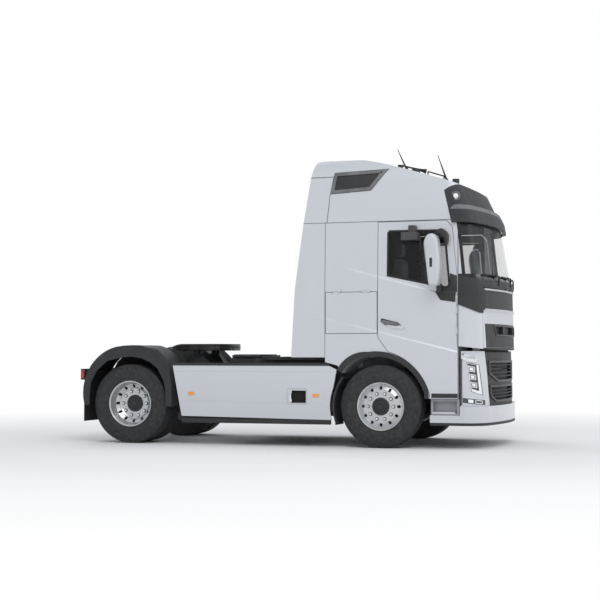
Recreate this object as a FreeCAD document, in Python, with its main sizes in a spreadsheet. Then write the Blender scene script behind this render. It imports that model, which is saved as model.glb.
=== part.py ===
import FreeCAD
import Part
import math
import os
import Sketcher

# A two-axle tractor unit with a high sleeper cab, in millimetres.
# X points forward, Y to the left and Z up. The origin is on the ground, in the
# middle of the whole vehicle. Pieces that come in pairs are drawn on the left.

SIZES = {
    # whole vehicle
    "wheelbase": 3500,
    "front_overhang": 1470,
    "rear_overhang": 750,
    "half_width": 1245,
    "tyre_radius": 532,
    "seam_gap": 7,
    "overrun": 60,
    "fit_gap": 0.3,
    "nose_margin": 2,
    # cab form
    "cab_setback": 940,
    "cab_nose_reach": 1460,
    "cab_bottom": 640,
    "cab_top": 3830,
    "cab_wall": 45,
    "roof_seam": 2905,
    "glass_inset": 12,
    "glass_thick": 8,
    "tunnel_half_width": 620,
    "tunnel_top": 1400,
    "floor_thick": 40,
    "well_rear": 655,
    "well_front": 1005,
    "well_inner": 900,
    "well_riser": 1050,
    "well_tread": 1060,
    "lid_half_width": 1098,
    "lid_top": 2050,
    "lid_depth": 210,
    "hinge_radius": 9,
    "hinge_pin_radius": 5,
    "hinge_height": 100,
    "hinge_pocket": 14,
    "hinge_out": 2,
    "hinge_reach": 40,
    "hinge_sink": 14,
    "lid_hinge_reach": 12,
    "lid_hinge_sink": 25,
    "lid_thick": 40,
    "trim_thick": 12,
    "visor_stand": 45,
    "fitting_radius": 18,
    "handle_depth": 18,
    # cab inside
    "seat_width": 500,
    "seat_depth": 480,
    "seat_height": 470,
    "cushion_thick": 130,
    "backrest_height": 760,
    "backrest_thick": 130,
    "seat_spacing": 1240,
    "bunk_width": 700,
    "bunk_thick": 150,
    "bunk_height": 360,
    "dash_depth": 380,
    "dash_height": 560,
    "wheel_ring_radius": 225,
    "wheel_ring_thick": 26,
    "column_radius": 34,
    # mirrors
    "mirror_width": 240,
    "mirror_standoff": 85,
    # frame
    "rail_height": 290,
    "rail_flange": 80,
    "rail_web": 9,
    "rail_spacing": 780,
    "rail_top": 1010,
    "frame_nose": 1000,
    "crossmember_thick": 60,
    "crossmember_height": 140,
    "bracket_thick": 80,
    "cab_post": 60,
    "tube_half_length": 722,
    "tube_radius": 22,
    "tilt_ahead": 1290,
    "tilt_height": 1150,
    "tilt_arm_thick": 50,
    "tilt_boss_radius": 34,
    "beam_depth": 110,
    "beam_half_length": 1000,
    # bumper and front corner
    "bumper_half_width": 1175,
    "bumper_wall": 30,
    "bumper_bottom": 300,
    "bumper_top": 545,
    "bumper_rear": 648,
    "step_ledge": 430,
    "step_recess": 60,
    "step_tread": 30,
    "corner_top": 1240,
    "corner_rear": 1040,
    "grille_half_width": 960,
    "grille_thick": 24,
    "grille_setback": 45,
    "grille_top": 1225,
    "bar_thick": 22,
    # wheels
    "tyre_width": 315,
    "tyre_outer_face": 1220,
    "twin_spacing": 350,
    "bead_radius": 292,
    "rim_wall": 26,
    "flange_height": 12,
    "disc_thick": 14,
    "dish_depth": 285,
    "front_disc_depth": 40,
    "hand_hole_circle": 228,
    "hand_hole_radius": 21,
    "hub_radius": 105,
    "hub_bore": 48,
    "rear_hub_length": 110,
    # front axle and steering
    "kingpin_offset": 1000,
    "kingpin_radius": 26,
    "beam_height": 110,
    "beam_width": 100,
    "beam_neck": 90,
    "beam_drop": 70,
    "spring_length": 1500,
    "spring_width": 80,
    "steer_arm_length": 190,
    "fist_height": 120,
    "fist_radius": 52,
    "yoke_height": 46,
    "brake_radius": 205,
    "brake_thick": 45,
    "pin_gap": 0.5,
    # rear axle
    "axle_tube_radius": 72,
    "axle_half_length": 880,
    "drum_width": 160,
    "drum_inner": 640,
    "bowl_radius": 215,
    "bowl_width": 260,
    "bellows_radius": 135,
    "bellows_ahead": 420,
    "arm_thick": 60,
    # engine and driveline
    "engine_length": 1150,
    "engine_setback": 480,
    "radiator_gap": 60,
    "engine_bottom": 560,
    "engine_top": 1345,
    "gearbox_length": 900,
    "gearbox_radius": 210,
    "propshaft_radius": 55,
    "radiator_thick": 140,
    # tanks and skirts
    "tank_length": 1260,
    "tank_height": 600,
    "tank_width": 610,
    "tank_corner": 90,
    "tank_bottom": 390,
    "tank_setback": 1000,
    "tank_gap": 40,
    "tank_strap": 50,
    "skirt_thick": 28,
    "skirt_length": 2285,
    "skirt_bottom": 352,
    "skirt_top": 1050,
    "skirt_front_gap": 575,
    "strip_height": 34,
    "strip_overhang": 6,
    "sill_height": 60,
    # mudguards
    "guard_radius": 605,
    "guard_thick": 24,
    "guard_width": 330,
    "guard_tube_radius": 18,
    "fender_half_width": 1250,
    "fender_inner": 560,
    "fender_thick": 24,
    "fender_lip": 85,
    "fender_length": 1290,
    "fender_rise": 788,
    "fender_shift": 20,
    "flap_thick": 12,
    "flap_bottom": 290,
    # rear lamps
    "lamp_width": 420,
    "lamp_height": 150,
    "lamp_depth": 60,
    "lamp_top": 1000,
    "marker_length": 80,
    # fifth wheel
    "plate_length": 930,
    "plate_width": 900,
    "plate_thick": 45,
    "plate_height": 1345,
    "pivot_ahead": 640,
    "throat_half_width": 190,
    "kingpin_bore": 26,
    "skirt_web": 26,
    "pedestal_height": 215,
    "pedestal_thick": 60,
    "pedestal_length": 380,
    "pedestal_offset": 330,
    "pivot_radius": 30,
    "base_thick": 14,
    # deck behind the cab
    "deck_length": 1080,
    "deck_width": 1000,
    "deck_thick": 26,
    "deck_height": 1150,
}

document = FreeCAD.newDocument("TractorUnit")
sheet = document.addObject("Spreadsheet::Sheet", "Sizes")
for row, (alias, amount) in enumerate(SIZES.items(), start=1):
    sheet.set("A%d" % row, alias)
    sheet.set("B%d" % row, str(amount))
    sheet.setAlias("B%d" % row, alias)
document.recompute()

LEFT = 1
RIGHT = -1
TURN = 360
WHEEL_HOLES = 10
SUB_PARTS = {}


# Lengths as sheet expressions
class Length:
    """A length worked out from the sheet: its expression and its present value."""

    def __init__(self, text, value):
        self.text = text
        self.value = value

    def __add__(self, other):
        return Length("(%s + %s)" % (self.text, other.text), self.value + other.value)

    def __sub__(self, other):
        return Length("(%s - %s)" % (self.text, other.text), self.value - other.value)

    def __mul__(self, share):
        return Length("%s * %s" % (self.text, share), self.value * share)

    def __rmul__(self, share):
        return self * share

    def __truediv__(self, share):
        return Length("%s / %s" % (self.text, share), self.value / share)

    def __neg__(self):
        return Length("(0 - %s)" % self.text, -self.value)


def size(alias):
    """The length that the sheet keeps under this alias."""
    return Length("Sizes.%s" % alias, float(sheet.get(alias)))


ZERO = Length("0", 0.0)


def bind(item, path, amount):
    """Ties one property of an object to the sheet."""
    item.setExpression(path, amount.text)


def settle(item, place):
    """Ties an object's position to the sheet."""
    for letter, amount in zip("xyz", place):
        bind(item, "Placement.Base.%s" % letter, amount)


# Solids
PLANES = {
    "XY": ("XY_Plane", LEFT),
    "XZ": ("XZ_Plane", RIGHT),
    "YZ": ("YZ_Plane", LEFT),
}


def origin_feature(body, role):
    """One plane or axis of a body's own origin."""
    return [part for part in body.Origin.OriginFeatures if part.Role == role][0]


def via(across, up):
    """A point that the edge between its two neighbours bends through."""
    return ("via", across, up)


def end_of(curve, point):
    """Which end of a sketched edge lies on the point: 1 for its start, 2 for its end."""
    start = curve.StartPoint
    away = math.hypot(start.x - point[0].value, start.y - point[1].value)
    far = math.hypot(curve.EndPoint.x - point[0].value, curve.EndPoint.y - point[1].value)
    return 1 if away < far else 2


def pin(sketch, geometry, end, point):
    """Ties one sketched point to the sheet."""
    for kind, amount in zip(("DistanceX", "DistanceY"), point):
        number = sketch.addConstraint(
            Sketcher.Constraint(kind, -1, 1, geometry, end, amount.value)
        )
        bind(sketch, "Constraints[%d]" % number, amount)


def sketch_outline(sketch, outline):
    """Draws a closed outline of straight edges and arcs, every point tied to the sheet."""
    corners = [entry for entry in outline if entry[0] != "via"]
    bends = {}
    for number, entry in enumerate(outline):
        if entry[0] == "via":
            before = outline[number - 1]
            bends[corners.index(before)] = entry[1:]
    vector = FreeCAD.Vector
    for number, corner in enumerate(corners):
        following = corners[(number + 1) % len(corners)]
        start = vector(corner[0].value, corner[1].value, 0)
        finish = vector(following[0].value, following[1].value, 0)
        if number in bends:
            middle = vector(bends[number][0].value, bends[number][1].value, 0)
            clockwise = (middle - start).cross(finish - middle).z < 0
            ends = (finish, start) if clockwise else (start, finish)
            sketch.addGeometry(Part.Arc(ends[0], middle, ends[1]), False)
        else:
            sketch.addGeometry(Part.LineSegment(start, finish), False)
    for number, corner in enumerate(corners):
        before = (number - 1) % len(corners)
        here = end_of(sketch.Geometry[number], corner)
        there = end_of(sketch.Geometry[before], corner)
        sketch.addConstraint(Sketcher.Constraint("Coincident", before, there, number, here))
        pin(sketch, number, here, corner)
    for number, bend in bends.items():
        mark = sketch.addGeometry(Part.Point(vector(bend[0].value, bend[1].value, 0)), True)
        pin(sketch, mark, 1, bend)
        sketch.addConstraint(Sketcher.Constraint("PointOnObject", mark, 1, number))


def new_sketch(body, plane, offset=ZERO):
    """An empty sketch on one of the body's origin planes, moved along the plane's normal."""
    role, facing = PLANES[plane]
    sketch = body.newObject("Sketcher::SketchObject", "%sOutline" % body.Name)
    sketch.AttachmentSupport = [(origin_feature(body, role), "")]
    sketch.MapMode = "FlatFace"
    bind(sketch, "AttachmentOffset.Base.z", offset if facing == LEFT else -offset)
    return sketch


def prism(name, plane, outline, start, finish, lean=None):
    """A body padded from an outline, from start to finish along the plane's axis."""
    body = document.addObject("PartDesign::Body", name)
    facing = PLANES[plane][1]
    sketch = new_sketch(body, plane, start if facing == LEFT else finish)
    sketch_outline(sketch, outline)
    pad = body.newObject("PartDesign::Pad", "%sPad" % name)
    pad.Profile = sketch
    bind(pad, "Length", finish - start)
    if lean is not None:
        pad.UseCustomVector = True
        pad.Direction = FreeCAD.Vector(lean, 0, 1)
        pad.AlongSketchNormal = True
    return body


def revolved(name, outline):
    """A body turned about the Y axis from an outline of radius and place along the axis."""
    body = document.addObject("PartDesign::Body", name)
    sketch = new_sketch(body, "XY")
    sketch_outline(sketch, outline)
    turned = body.newObject("PartDesign::Revolution", "%sTurned" % name)
    turned.Profile = sketch
    turned.ReferenceAxis = (sketch, ["V_Axis"])
    turned.Angle = TURN
    return body


def ring_of_pockets(body, place, radius, sides, count):
    """Pockets of a regular polygon through a turned body, repeated round the Y axis."""
    sketch = new_sketch(body, "XZ")
    corners = []
    for number in range(sides):
        angle = 2 * math.pi * number / sides
        corners.append((radius * math.cos(angle), place + radius * math.sin(angle)))
    sketch_outline(sketch, corners)
    pocket = body.newObject("PartDesign::Pocket", "%sHole" % body.Name)
    pocket.Profile = sketch
    pocket.Type = "ThroughAll"
    pocket.Midplane = True
    pattern = body.newObject("PartDesign::PolarPattern", "%sHoles" % body.Name)
    pattern.Originals = [pocket]
    pattern.Axis = (origin_feature(body, "Y_Axis"), [""])
    pattern.Angle = TURN
    pattern.Occurrences = count
    body.Tip = pattern
    return body


def block(name, low, high):
    """A box between two opposite corners."""
    item = document.addObject("Part::Box", name)
    for side, start, finish in zip(("Length", "Width", "Height"), low, high):
        bind(item, side, finish - start)
    settle(item, low)
    return item


def plate(name, one, other):
    """A box between any two opposite corners."""
    pairs = list(zip(one, other))
    low = [min(pair, key=lambda length: length.value) for pair in pairs]
    high = [max(pair, key=lambda length: length.value) for pair in pairs]
    return block(name, low, high)


AXES = {
    "X": FreeCAD.Rotation(FreeCAD.Vector(0, 1, 0), 90),
    "Y": FreeCAD.Rotation(FreeCAD.Vector(1, 0, 0), -90),
    "Z": FreeCAD.Rotation(),
}


def rod(name, axis, place, length, radius):
    """A cylinder from a place along an axis."""
    item = document.addObject("Part::Cylinder", name)
    item.Placement = FreeCAD.Placement(FreeCAD.Vector(), AXES[axis])
    bind(item, "Radius", radius)
    bind(item, "Height", length)
    settle(item, place)
    return item


def strut(name, start, finish, radius):
    """A round bar between two points."""
    item = document.addObject("Part::Cylinder", name)
    run = [high - low for low, high in zip(start, finish)]
    heading = FreeCAD.Vector(*[part.value for part in run])
    turn = FreeCAD.Rotation(FreeCAD.Vector(0, 0, 1), heading)
    item.Placement = FreeCAD.Placement(FreeCAD.Vector(), turn)
    squares = " + ".join("(%s)^2" % part.text for part in run)
    bind(item, "Height", Length("sqrt(%s)" % squares, heading.Length))
    bind(item, "Radius", radius)
    settle(item, start)
    return item


def cut(name, base, tool):
    item = document.addObject("Part::Cut", name)
    item.Base = base
    item.Tool = tool
    return item


def joined(name, parts):
    item = document.addObject("Part::MultiFuse", name)
    item.Shapes = parts
    return item


def shared(name, parts):
    item = document.addObject("Part::MultiCommon", name)
    item.Shapes = parts
    return item


def gathered(name, parts):
    item = document.addObject("Part::Compound", name)
    item.Links = parts
    return item


def mirrored(name, source):
    """The same piece on the other side of the vehicle."""
    item = document.addObject("Part::Mirroring", name)
    item.Source = source
    item.Base = FreeCAD.Vector(0, 0, 0)
    item.Normal = FreeCAD.Vector(0, 1, 0)
    return item


def grown(name, source, amount):
    """The solid with every face moved outwards."""
    item = document.addObject("Part::Offset", name)
    item.Source = source
    item.Join = "Intersection"
    bind(item, "Value", amount)
    return item


def keep(label, item):
    """Names a finished sub-part."""
    item.Label = label
    SUB_PARTS[label] = item
    return item


def keep_pair(stem, left):
    """Keeps a left piece and its mirror image on the right."""
    keep("%s_left" % stem, left)
    keep("%s_right" % stem, mirrored("%sRight" % left.Name, left))


def both_sides(name, left):
    """A left piece and its mirror image as one sub-part."""
    return gathered(name, [left, mirrored("%sOther" % name, left)])


# Places that everything hangs on
half_width = size("half_width")
tyre_radius = size("tyre_radius")
gap = size("seam_gap")
fit = size("fit_gap")
overrun = size("overrun")
front_axle = (size("wheelbase") + size("rear_overhang") - size("front_overhang")) / 2
rear_axle = front_axle - size("wheelbase")


# Cab form, from shares of its length, height and half width
def cab_x(share, inset=ZERO):
    low = front_axle - size("cab_setback") + inset
    high = front_axle + size("cab_nose_reach") - inset
    return low + (high - low) * share


def cab_y(share, inset=ZERO):
    return (half_width - inset) * share


# The share of the cab's height at which the high roof is seamed to the cab
SEAM_SHARE = 0.71


def cab_z(share, inset=ZERO):
    low = size("cab_bottom") + inset
    high = size("cab_top") - inset
    middle = size("roof_seam") + inset * (1 - 2 * SEAM_SHARE)
    if share < SEAM_SHARE:
        return low + (middle - low) * (share / SEAM_SHARE)
    return middle + (high - middle) * ((share - SEAM_SHARE) / (1 - SEAM_SHARE))


# Side of the cab: rear wall, roof, nose, door sill and front wheel arch
CAB_SIDE_SHARES = (
    (0.0875, 0.1442),
    (0.0875, 0.8966),
    (0.0, 0.8966),
    (0.0196, 0.985),
    (0.1417, 0.9937),
    ("via", 0.3333, 0.9624),
    (0.5208, 0.9232),
    (0.8542, 0.847),
    (1.0, 0.7555),
    (1.0, 0.1912),
    (0.8292, 0.2069),
    (0.8125, 0.2069),
    (0.8125, 0.0),
    (0.6354, 0.0),
    (0.6354, 0.0188),
    ("via", 0.5292, 0.1285),
    (0.3292, 0.1646),
    ("via", 0.2313, 0.1426),
    (0.1833, 0.1003),
    (0.1583, 0.1301),
)

# Front of the cab: upright sides that lean in above the door sill, and a round roof edge
CAB_FRONT_SHARES = (
    (1.0, 0.0),
    (1.0, 0.4107),
    (0.9896, 0.5517),
    (0.9735, 0.71),
    (0.9478, 0.8777),
    ("via", 0.8996, 0.931),
    (0.747, 0.9718),
    ("via", 0.0, 1.0),
)

# Plan of the cab: the nose is gently bowed, its corners are rounder
STRAIGHT_SHARE = 0.825
PLAN_SHARES = (
    (-0.3, 1.0),
    (STRAIGHT_SHARE, 1.0),
    ("via", 0.9146, 0.9357),
    (0.9563, 0.7631),
    ("via", 1.0, 0.0),
)

# The nose in leaning stretches: how far back it goes for each millimetre up
GRILLE_LEAN_SHARE = -0.022
WINDSCREEN_LEAN_SHARE = -0.17
BROW_LEAN_SHARE = -0.476
WINDSCREEN_FOOT_SHARES = (0.9875, 0.4734)
BROW_FOOT_SHARES = (0.9292, 0.7304)


def both_halves(points, flipped):
    """A closed outline from its left half, whose last entry lies on the middle line."""
    half = list(points[:-1])
    other = []
    for entry in reversed(half):
        turned = list(entry)
        turned[len(entry) - 2 + flipped] = -entry[len(entry) - 2 + flipped]
        other.append(tuple(turned))
    return half + [points[-1]] + other


def placed(shares, along, up):
    """Points of an outline, each share turned into a length."""
    points = []
    for entry in shares:
        point = (along(entry[-2]), up(entry[-1]))
        points.append(via(*point) if entry[0] == "via" else point)
    return points


def nose_prism(name, foot, lean_share, inset=ZERO, half=half_width, low=None, high=None):
    """The cab's plan as a leaning body, its nose at the foot's place."""
    low = cab_z(0.0) - overrun if low is None else low
    high = cab_z(1.0) + overrun if high is None else high
    nose = foot[0] - inset + (low - foot[1]) * lean_share
    length = cab_x(1.0) - cab_x(0.0)
    points = placed(PLAN_SHARES, lambda share: nose - length * (1 - share),
                    lambda share: (half - inset + size("nose_margin")) * share)
    return prism(name, "XY", both_halves(points, 1), low, high, lean_share)


def cab_volume(name, inset=ZERO):
    """The whole cab as one closed form, every side moved inwards by the inset."""
    side = prism(name + "Side", "XZ",
                 placed(CAB_SIDE_SHARES, lambda share: cab_x(share, inset),
                        lambda share: cab_z(share, inset)),
                 -half_width - overrun, half_width + overrun)
    front = prism(name + "Front", "YZ",
                  both_halves(placed(CAB_FRONT_SHARES, lambda share: cab_y(share, inset),
                                     lambda share: cab_z(share, inset)), 0),
                  cab_x(0.0) - overrun, cab_x(1.0) + overrun)
    noses = []
    for label, foot, lean_share in (
        ("Grille", (cab_x(1.0), cab_z(0.1912)), GRILLE_LEAN_SHARE),
        ("Glass", placed([WINDSCREEN_FOOT_SHARES], cab_x, cab_z)[0], WINDSCREEN_LEAN_SHARE),
        ("Brow", placed([BROW_FOOT_SHARES], cab_x, cab_z)[0], BROW_LEAN_SHARE),
    ):
        noses.append(nose_prism(name + label, foot, lean_share, inset))
    return shared(name, [side, front] + noses)


def side_panel(name, shares, depth):
    """A body through the left wall, from shares of the cab's side."""
    return prism(name, "XZ", placed(shares, cab_x, cab_z), half_width - depth, half_width + overrun)


wall = size("cab_wall")
cab_solid = cab_volume("CabSolid")
cab_room = cab_volume("CabRoom", wall)
PANEL_DEPTH_SHARE = 0.04
VENT_DEPTH_SHARE = 0.1
panel_depth = wall + half_width * PANEL_DEPTH_SHARE

# Engine tunnel and the bay behind the front lid, both open to the outside
tunnel_half = size("tunnel_half_width")
tunnel_top = size("tunnel_top")
floor_thick = size("floor_thick")
lid_half = size("lid_half_width")
lid_top = size("lid_top")
bay_back = cab_x(1.0) - size("lid_depth")
below = cab_z(0.0) - overrun
tunnel = block("Tunnel", (cab_x(0.0) - overrun, -tunnel_half, below),
               (cab_x(1.0) + overrun, tunnel_half, tunnel_top))
bay = block("LidBay", (bay_back, -lid_half, below), (cab_x(1.0) + overrun, lid_half, lid_top))
above_floor = block("AboveFloor",
                    (cab_x(0.0) - overrun, -half_width, tunnel_top + floor_thick),
                    (cab_x(1.0) + overrun, half_width, cab_z(1.0) + overrun))
well_rear = front_axle + size("well_rear")
well_front = front_axle + size("well_front")
well_low = block("WellLow", (well_rear, size("well_riser"), below),
                 (well_front, half_width, tunnel_top + overrun))
well_high = block("WellHigh", (well_rear, size("well_inner"), size("well_tread")),
                  (well_front, half_width, tunnel_top + overrun))
well = joined("StepWellRoom", [well_low, well_high])
living_space = joined("LivingSpace", [above_floor, well, mirrored("StepWellRoomRight", well)])
bay_walls = block("LidBayWalls", (bay_back - floor_thick, -lid_half - floor_thick, below),
                  (cab_x(1.0) + overrun, lid_half + floor_thick, lid_top + floor_thick))

# Doors, lockers and windows, from shares of the cab's side
DOOR_SHARES = (
    (0.3833, 0.7063),
    (0.3833, 0.2445),
    (0.4133, 0.2125),
    (0.4383, 0.1868),
    ("via", 0.5667, 0.1342),
    (0.6633, 0.0188),
    (0.6633, -0.0219),
    (0.825, -0.0219),
    (0.825, 0.205),
    (0.8096, 0.205),
    (0.8096, 0.489),
    (0.7842, 0.6803),
    (0.7542, 0.7063),
)
DOOR_WINDOW_SHARES = (
    (0.4325, 0.6646),
    (0.4308, 0.4875),
    (0.7583, 0.4351),
    (0.7771, 0.4483),
    (0.7521, 0.6552),
    (0.7375, 0.6724),
    (0.4437, 0.6734),
)
LOCKER_SHARES = (
    (0.0925, 0.4257),
    (0.0925, 0.2602),
    (0.3767, 0.2602),
    (0.3767, 0.4257),
)
DOOR_UPPER_SHARES = (
    (0.3833, 0.7063),
    (0.3833, 0.2602),
    (0.8096, 0.2602),
    (0.8096, 0.489),
    (0.7842, 0.6803),
    (0.7542, 0.7063),
)
door_shallow = side_panel("DoorShallow", DOOR_SHARES, wall + fit)
door_deep = side_panel("DoorDeep", DOOR_UPPER_SHARES, panel_depth)
door_tool = joined("DoorTool", [door_shallow, door_deep])
door_opening = joined("DoorOpening", [grown("ShallowOpening", door_shallow, gap),
                                      grown("DeepOpening", door_deep, gap)])
locker_tool = side_panel("LockerTool", LOCKER_SHARES, wall + fit)
locker_opening = grown("LockerOpening", locker_tool, gap)
window_tool = side_panel("WindowTool", DOOR_WINDOW_SHARES, panel_depth * 2)

WINDSCREEN_SHARES = (
    (1.0167, 0.475),
    (0.8379, 0.4859),
    (0.8158, 0.6549),
    (0.8063, 0.7022),
    (1.0167, 0.7022),
)
windscreen_tool = prism("WindscreenTool", "XZ", placed(WINDSCREEN_SHARES, cab_x, cab_z),
                        -half_width - overrun, half_width + overrun)

cab_outer = cut("CabOuter", cut("CabOverTunnel", cab_solid, tunnel), bay)
cab_inner = cut("CabInner", shared("RoomOverFloor", [cab_room, living_space]), bay_walls)
cab_skin = cut("CabSkin", cab_outer, cab_inner)
openings = gathered("CabOpenings", [
    door_opening, mirrored("DoorOpeningRight", door_opening),
    locker_opening, mirrored("LockerOpeningRight", locker_opening),
    windscreen_tool,
])
seam = size("roof_seam")
under_seam = block("UnderSeam", (cab_x(0.0) - overrun, -half_width - overrun, below),
                   (cab_x(1.0) + overrun, half_width + overrun, seam))
cab_walls = cut("CabWalls", shared("CabBelowSeam", [cab_skin, under_seam]), openings)

# Arms that hang the cab on the tilt tube
TILT_ARM_SHARES = (
    (0.85, 0.2194),
    (0.85, 0.1599),
    (0.8667, 0.1511),
    (0.9292, 0.1498),
    (0.9292, 0.1693),
    (0.8896, 0.174),
    (0.8896, 0.2194),
)
tilt_x = front_axle + size("tilt_ahead")
tilt_z = size("tilt_height")
tube_radius = size("tube_radius")
tilt_arm_y = tunnel_half + floor_thick + gap
tilt_arm = prism("TiltArm", "XZ", placed(TILT_ARM_SHARES, cab_x, cab_z), tilt_arm_y,
                 tilt_arm_y + size("tilt_arm_thick"))
tilt_boss = rod("TiltBoss", "Y", (tilt_x, tilt_arm_y, tilt_z), size("tilt_arm_thick"),
                size("tilt_boss_radius"))
tilt_bore = rod("TiltBore", "Y", (tilt_x, tilt_arm_y - overrun, tilt_z),
                size("tilt_arm_thick") + overrun * 2, tube_radius + size("pin_gap"))
tilt_link = cut("TiltLink", joined("TiltArmSolid", [tilt_arm, tilt_boss]), tilt_bore)

# Hinges of the doors, lockers and lid: a pin with two lugs on the cab, a barrel on the panel
hinge_radius = size("hinge_radius")
hinge_pin = size("hinge_pin_radius")
hinge_height = size("hinge_height")
pocket = size("hinge_pocket")
pin_gap = size("pin_gap")
LUG_SHARES = (0.0, 0.75)
DIRECTIONS = {"X": 0, "Y": 1, "Z": 2}


def moved(place, axis, distance):
    """The place, moved along one axis."""
    spot = list(place)
    spot[DIRECTIONS[axis]] = spot[DIRECTIONS[axis]] + distance
    return tuple(spot)


def added(*vectors):
    """Places and moves added up."""
    total = list(vectors[0])
    for vector in vectors[1:]:
        total = [one + other for one, other in zip(total, vector)]
    return total


def hinge(name, axis, place, reach, sink):
    """A hinge's cab side, panel side and pocket: leaves lie along the reach, as deep as the sink."""
    quarter = hinge_height / 4
    back = [-part for part in reach]
    cab_parts = [rod(name + "Pin", axis, place, hinge_height, hinge_pin)]
    for number, share in enumerate(LUG_SHARES):
        start = moved(place, axis, hinge_height * share)
        cab_parts.append(rod("%sLug%d" % (name, number), axis, start, quarter, hinge_radius))
        cab_parts.append(plate("%sLeaf%d" % (name, number), start,
                               moved(added(start, reach, sink), axis, quarter)))
    middle = moved(place, axis, quarter + fit)
    barrel_length = hinge_height / 2 - fit * 2
    barrel = rod(name + "Barrel", axis, middle, barrel_length, hinge_radius)
    web_plate = plate(name + "Web", middle, moved(added(middle, back, sink), axis, barrel_length))
    bore = rod(name + "Bore", axis, place, hinge_height, hinge_pin + pin_gap)
    panel_side = cut(name + "Panel", joined(name + "PanelSolid", [barrel, web_plate]), bore)
    round_it = (pocket, pocket, pocket)
    room = block(name + "Pocket", [one - other for one, other in zip(place, round_it)],
                 added(moved(place, axis, hinge_height), round_it))
    return joined(name + "Cab", cab_parts), panel_side, room


hinge_line = half_width + size("hinge_out")
hinge_reach = size("hinge_reach")
inwards = (ZERO, -size("hinge_sink"), ZERO)
door_line = cab_x(0.8096) + gap / 2
locker_line = cab_z(0.4257) + gap / 2
lid_line = lid_top - gap / 2
lid_face = cab_x(1.0) + (lid_line - cab_z(0.1912)) * GRILLE_LEAN_SHARE + size("hinge_out")
DOOR_HINGE_SHARES = (0.2539, 0.335)
LOCKER_HINGE_SHARES = (0.1333, 0.2958)
door_hinges = [
    hinge("DoorHinge%d" % number, "Z", (door_line, hinge_line, cab_z(share)),
          (hinge_reach, ZERO, ZERO), inwards)
    for number, share in enumerate(DOOR_HINGE_SHARES)
]
locker_hinges = [
    hinge("LockerHinge%d" % number, "X", (cab_x(share), hinge_line, locker_line),
          (ZERO, ZERO, hinge_reach), inwards)
    for number, share in enumerate(LOCKER_HINGE_SHARES)
]
lid_hinges = [
    hinge("LidHinge", "Y", (lid_face, hinge_height, lid_line),
          (ZERO, ZERO, size("lid_hinge_reach")), (-size("lid_hinge_sink"), ZERO, ZERO))
]
cab_sides = [part[0] for part in door_hinges + locker_hinges + lid_hinges]
door_sides = [part[1] for part in door_hinges]
locker_sides = [part[1] for part in locker_hinges]
lid_side = lid_hinges[0][1]
side_pockets = gathered("HingePockets",
                        [part[2] for part in door_hinges + locker_hinges + lid_hinges])
all_pockets = gathered("AllPockets", [side_pockets, mirrored("HingePocketsRight", side_pockets)])
cab_left = joined("CabLeftFittings", cab_sides + [tilt_link])
keep("cab_shell", joined("CabShell", [cut("CabPocketed", cab_walls, all_pockets), cab_left,
                                      mirrored("CabRightFittings", cab_left)]))

# High roof with its black front panel, side vents and sun visor
VENT_SHARES = (
    (0.1104, 0.8266),
    (0.1333, 0.9163),
    (0.4371, 0.9251),
    (0.3408, 0.8367),
)
BROW_PANEL_SHARES = (
    (0.7767, 0.71),
    (0.7392, 0.8285),
    (0.7817, 0.8486),
    (0.834, 0.867),
    (1.0167, 0.867),
    (1.0167, 0.71),
)
VISOR_SHARES = (
    (0.784, 0.6975),
    (0.778, 0.7555),
    (0.8, 0.768),
    (1.0167, 0.768),
    (1.0167, 0.6975),
)
trim_thick = size("trim_thick")
over_seam = block("OverSeam", (cab_x(0.0) - overrun, -half_width - overrun, seam),
                  (cab_x(1.0) + overrun, half_width + overrun, cab_z(1.0) + overrun))
pocket_floor = cab_volume("PocketFloor", trim_thick * 2)
pocket_face = cab_volume("PocketFace", fit)
vent_tool = side_panel("VentTool", VENT_SHARES, wall + half_width * VENT_DEPTH_SHARE)
brow_tool = prism("BrowTool", "XZ", placed(BROW_PANEL_SHARES, cab_x, cab_z),
                  -half_width - overrun, half_width + overrun)
panel_tools = gathered("RoofPanelTools",
                       [vent_tool, mirrored("VentToolRight", vent_tool), brow_tool])
roof_skin = shared("RoofSkin", [cab_skin, over_seam])
roof_base = shared("RoofPocketBase", [pocket_floor, roof_skin])
roof_rest = cut("RoofRest", roof_skin, panel_tools)
keep("high_roof", joined("HighRoof", [roof_base, roof_rest]))
panel_layer = cut("RoofPanelLayer", shared("RoofPanelFace", [pocket_face, over_seam]), pocket_floor)
vent = shared("VentLeft", [panel_layer, vent_tool])
keep("roof_vents", both_sides("RoofVents", vent))
keep("roof_front_panel", shared("RoofFrontPanel", [panel_layer, brow_tool]))

visor_form = cab_volume("VisorForm", -size("visor_stand"))
visor_tool = prism("VisorTool", "XZ", placed(VISOR_SHARES, cab_x, cab_z),
                   -half_width - overrun, half_width + overrun)
visor_seat = cab_volume("VisorSeat", -fit)
keep("sun_visor", cut("SunVisor", shared("VisorBand", [visor_form, visor_tool]), visor_seat))

# Glass
glass_face = cab_volume("GlassFace", size("glass_inset"))
glass_back = cab_volume("GlassBack", size("glass_inset") + size("glass_thick"))
glass_layer = cut("GlassLayer", glass_face, glass_back)
keep("windscreen", shared("Windscreen", [glass_layer, windscreen_tool, under_seam]))
keep_pair("door_glass", shared("DoorGlass", [glass_layer, window_tool, door_tool, under_seam]))

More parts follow.
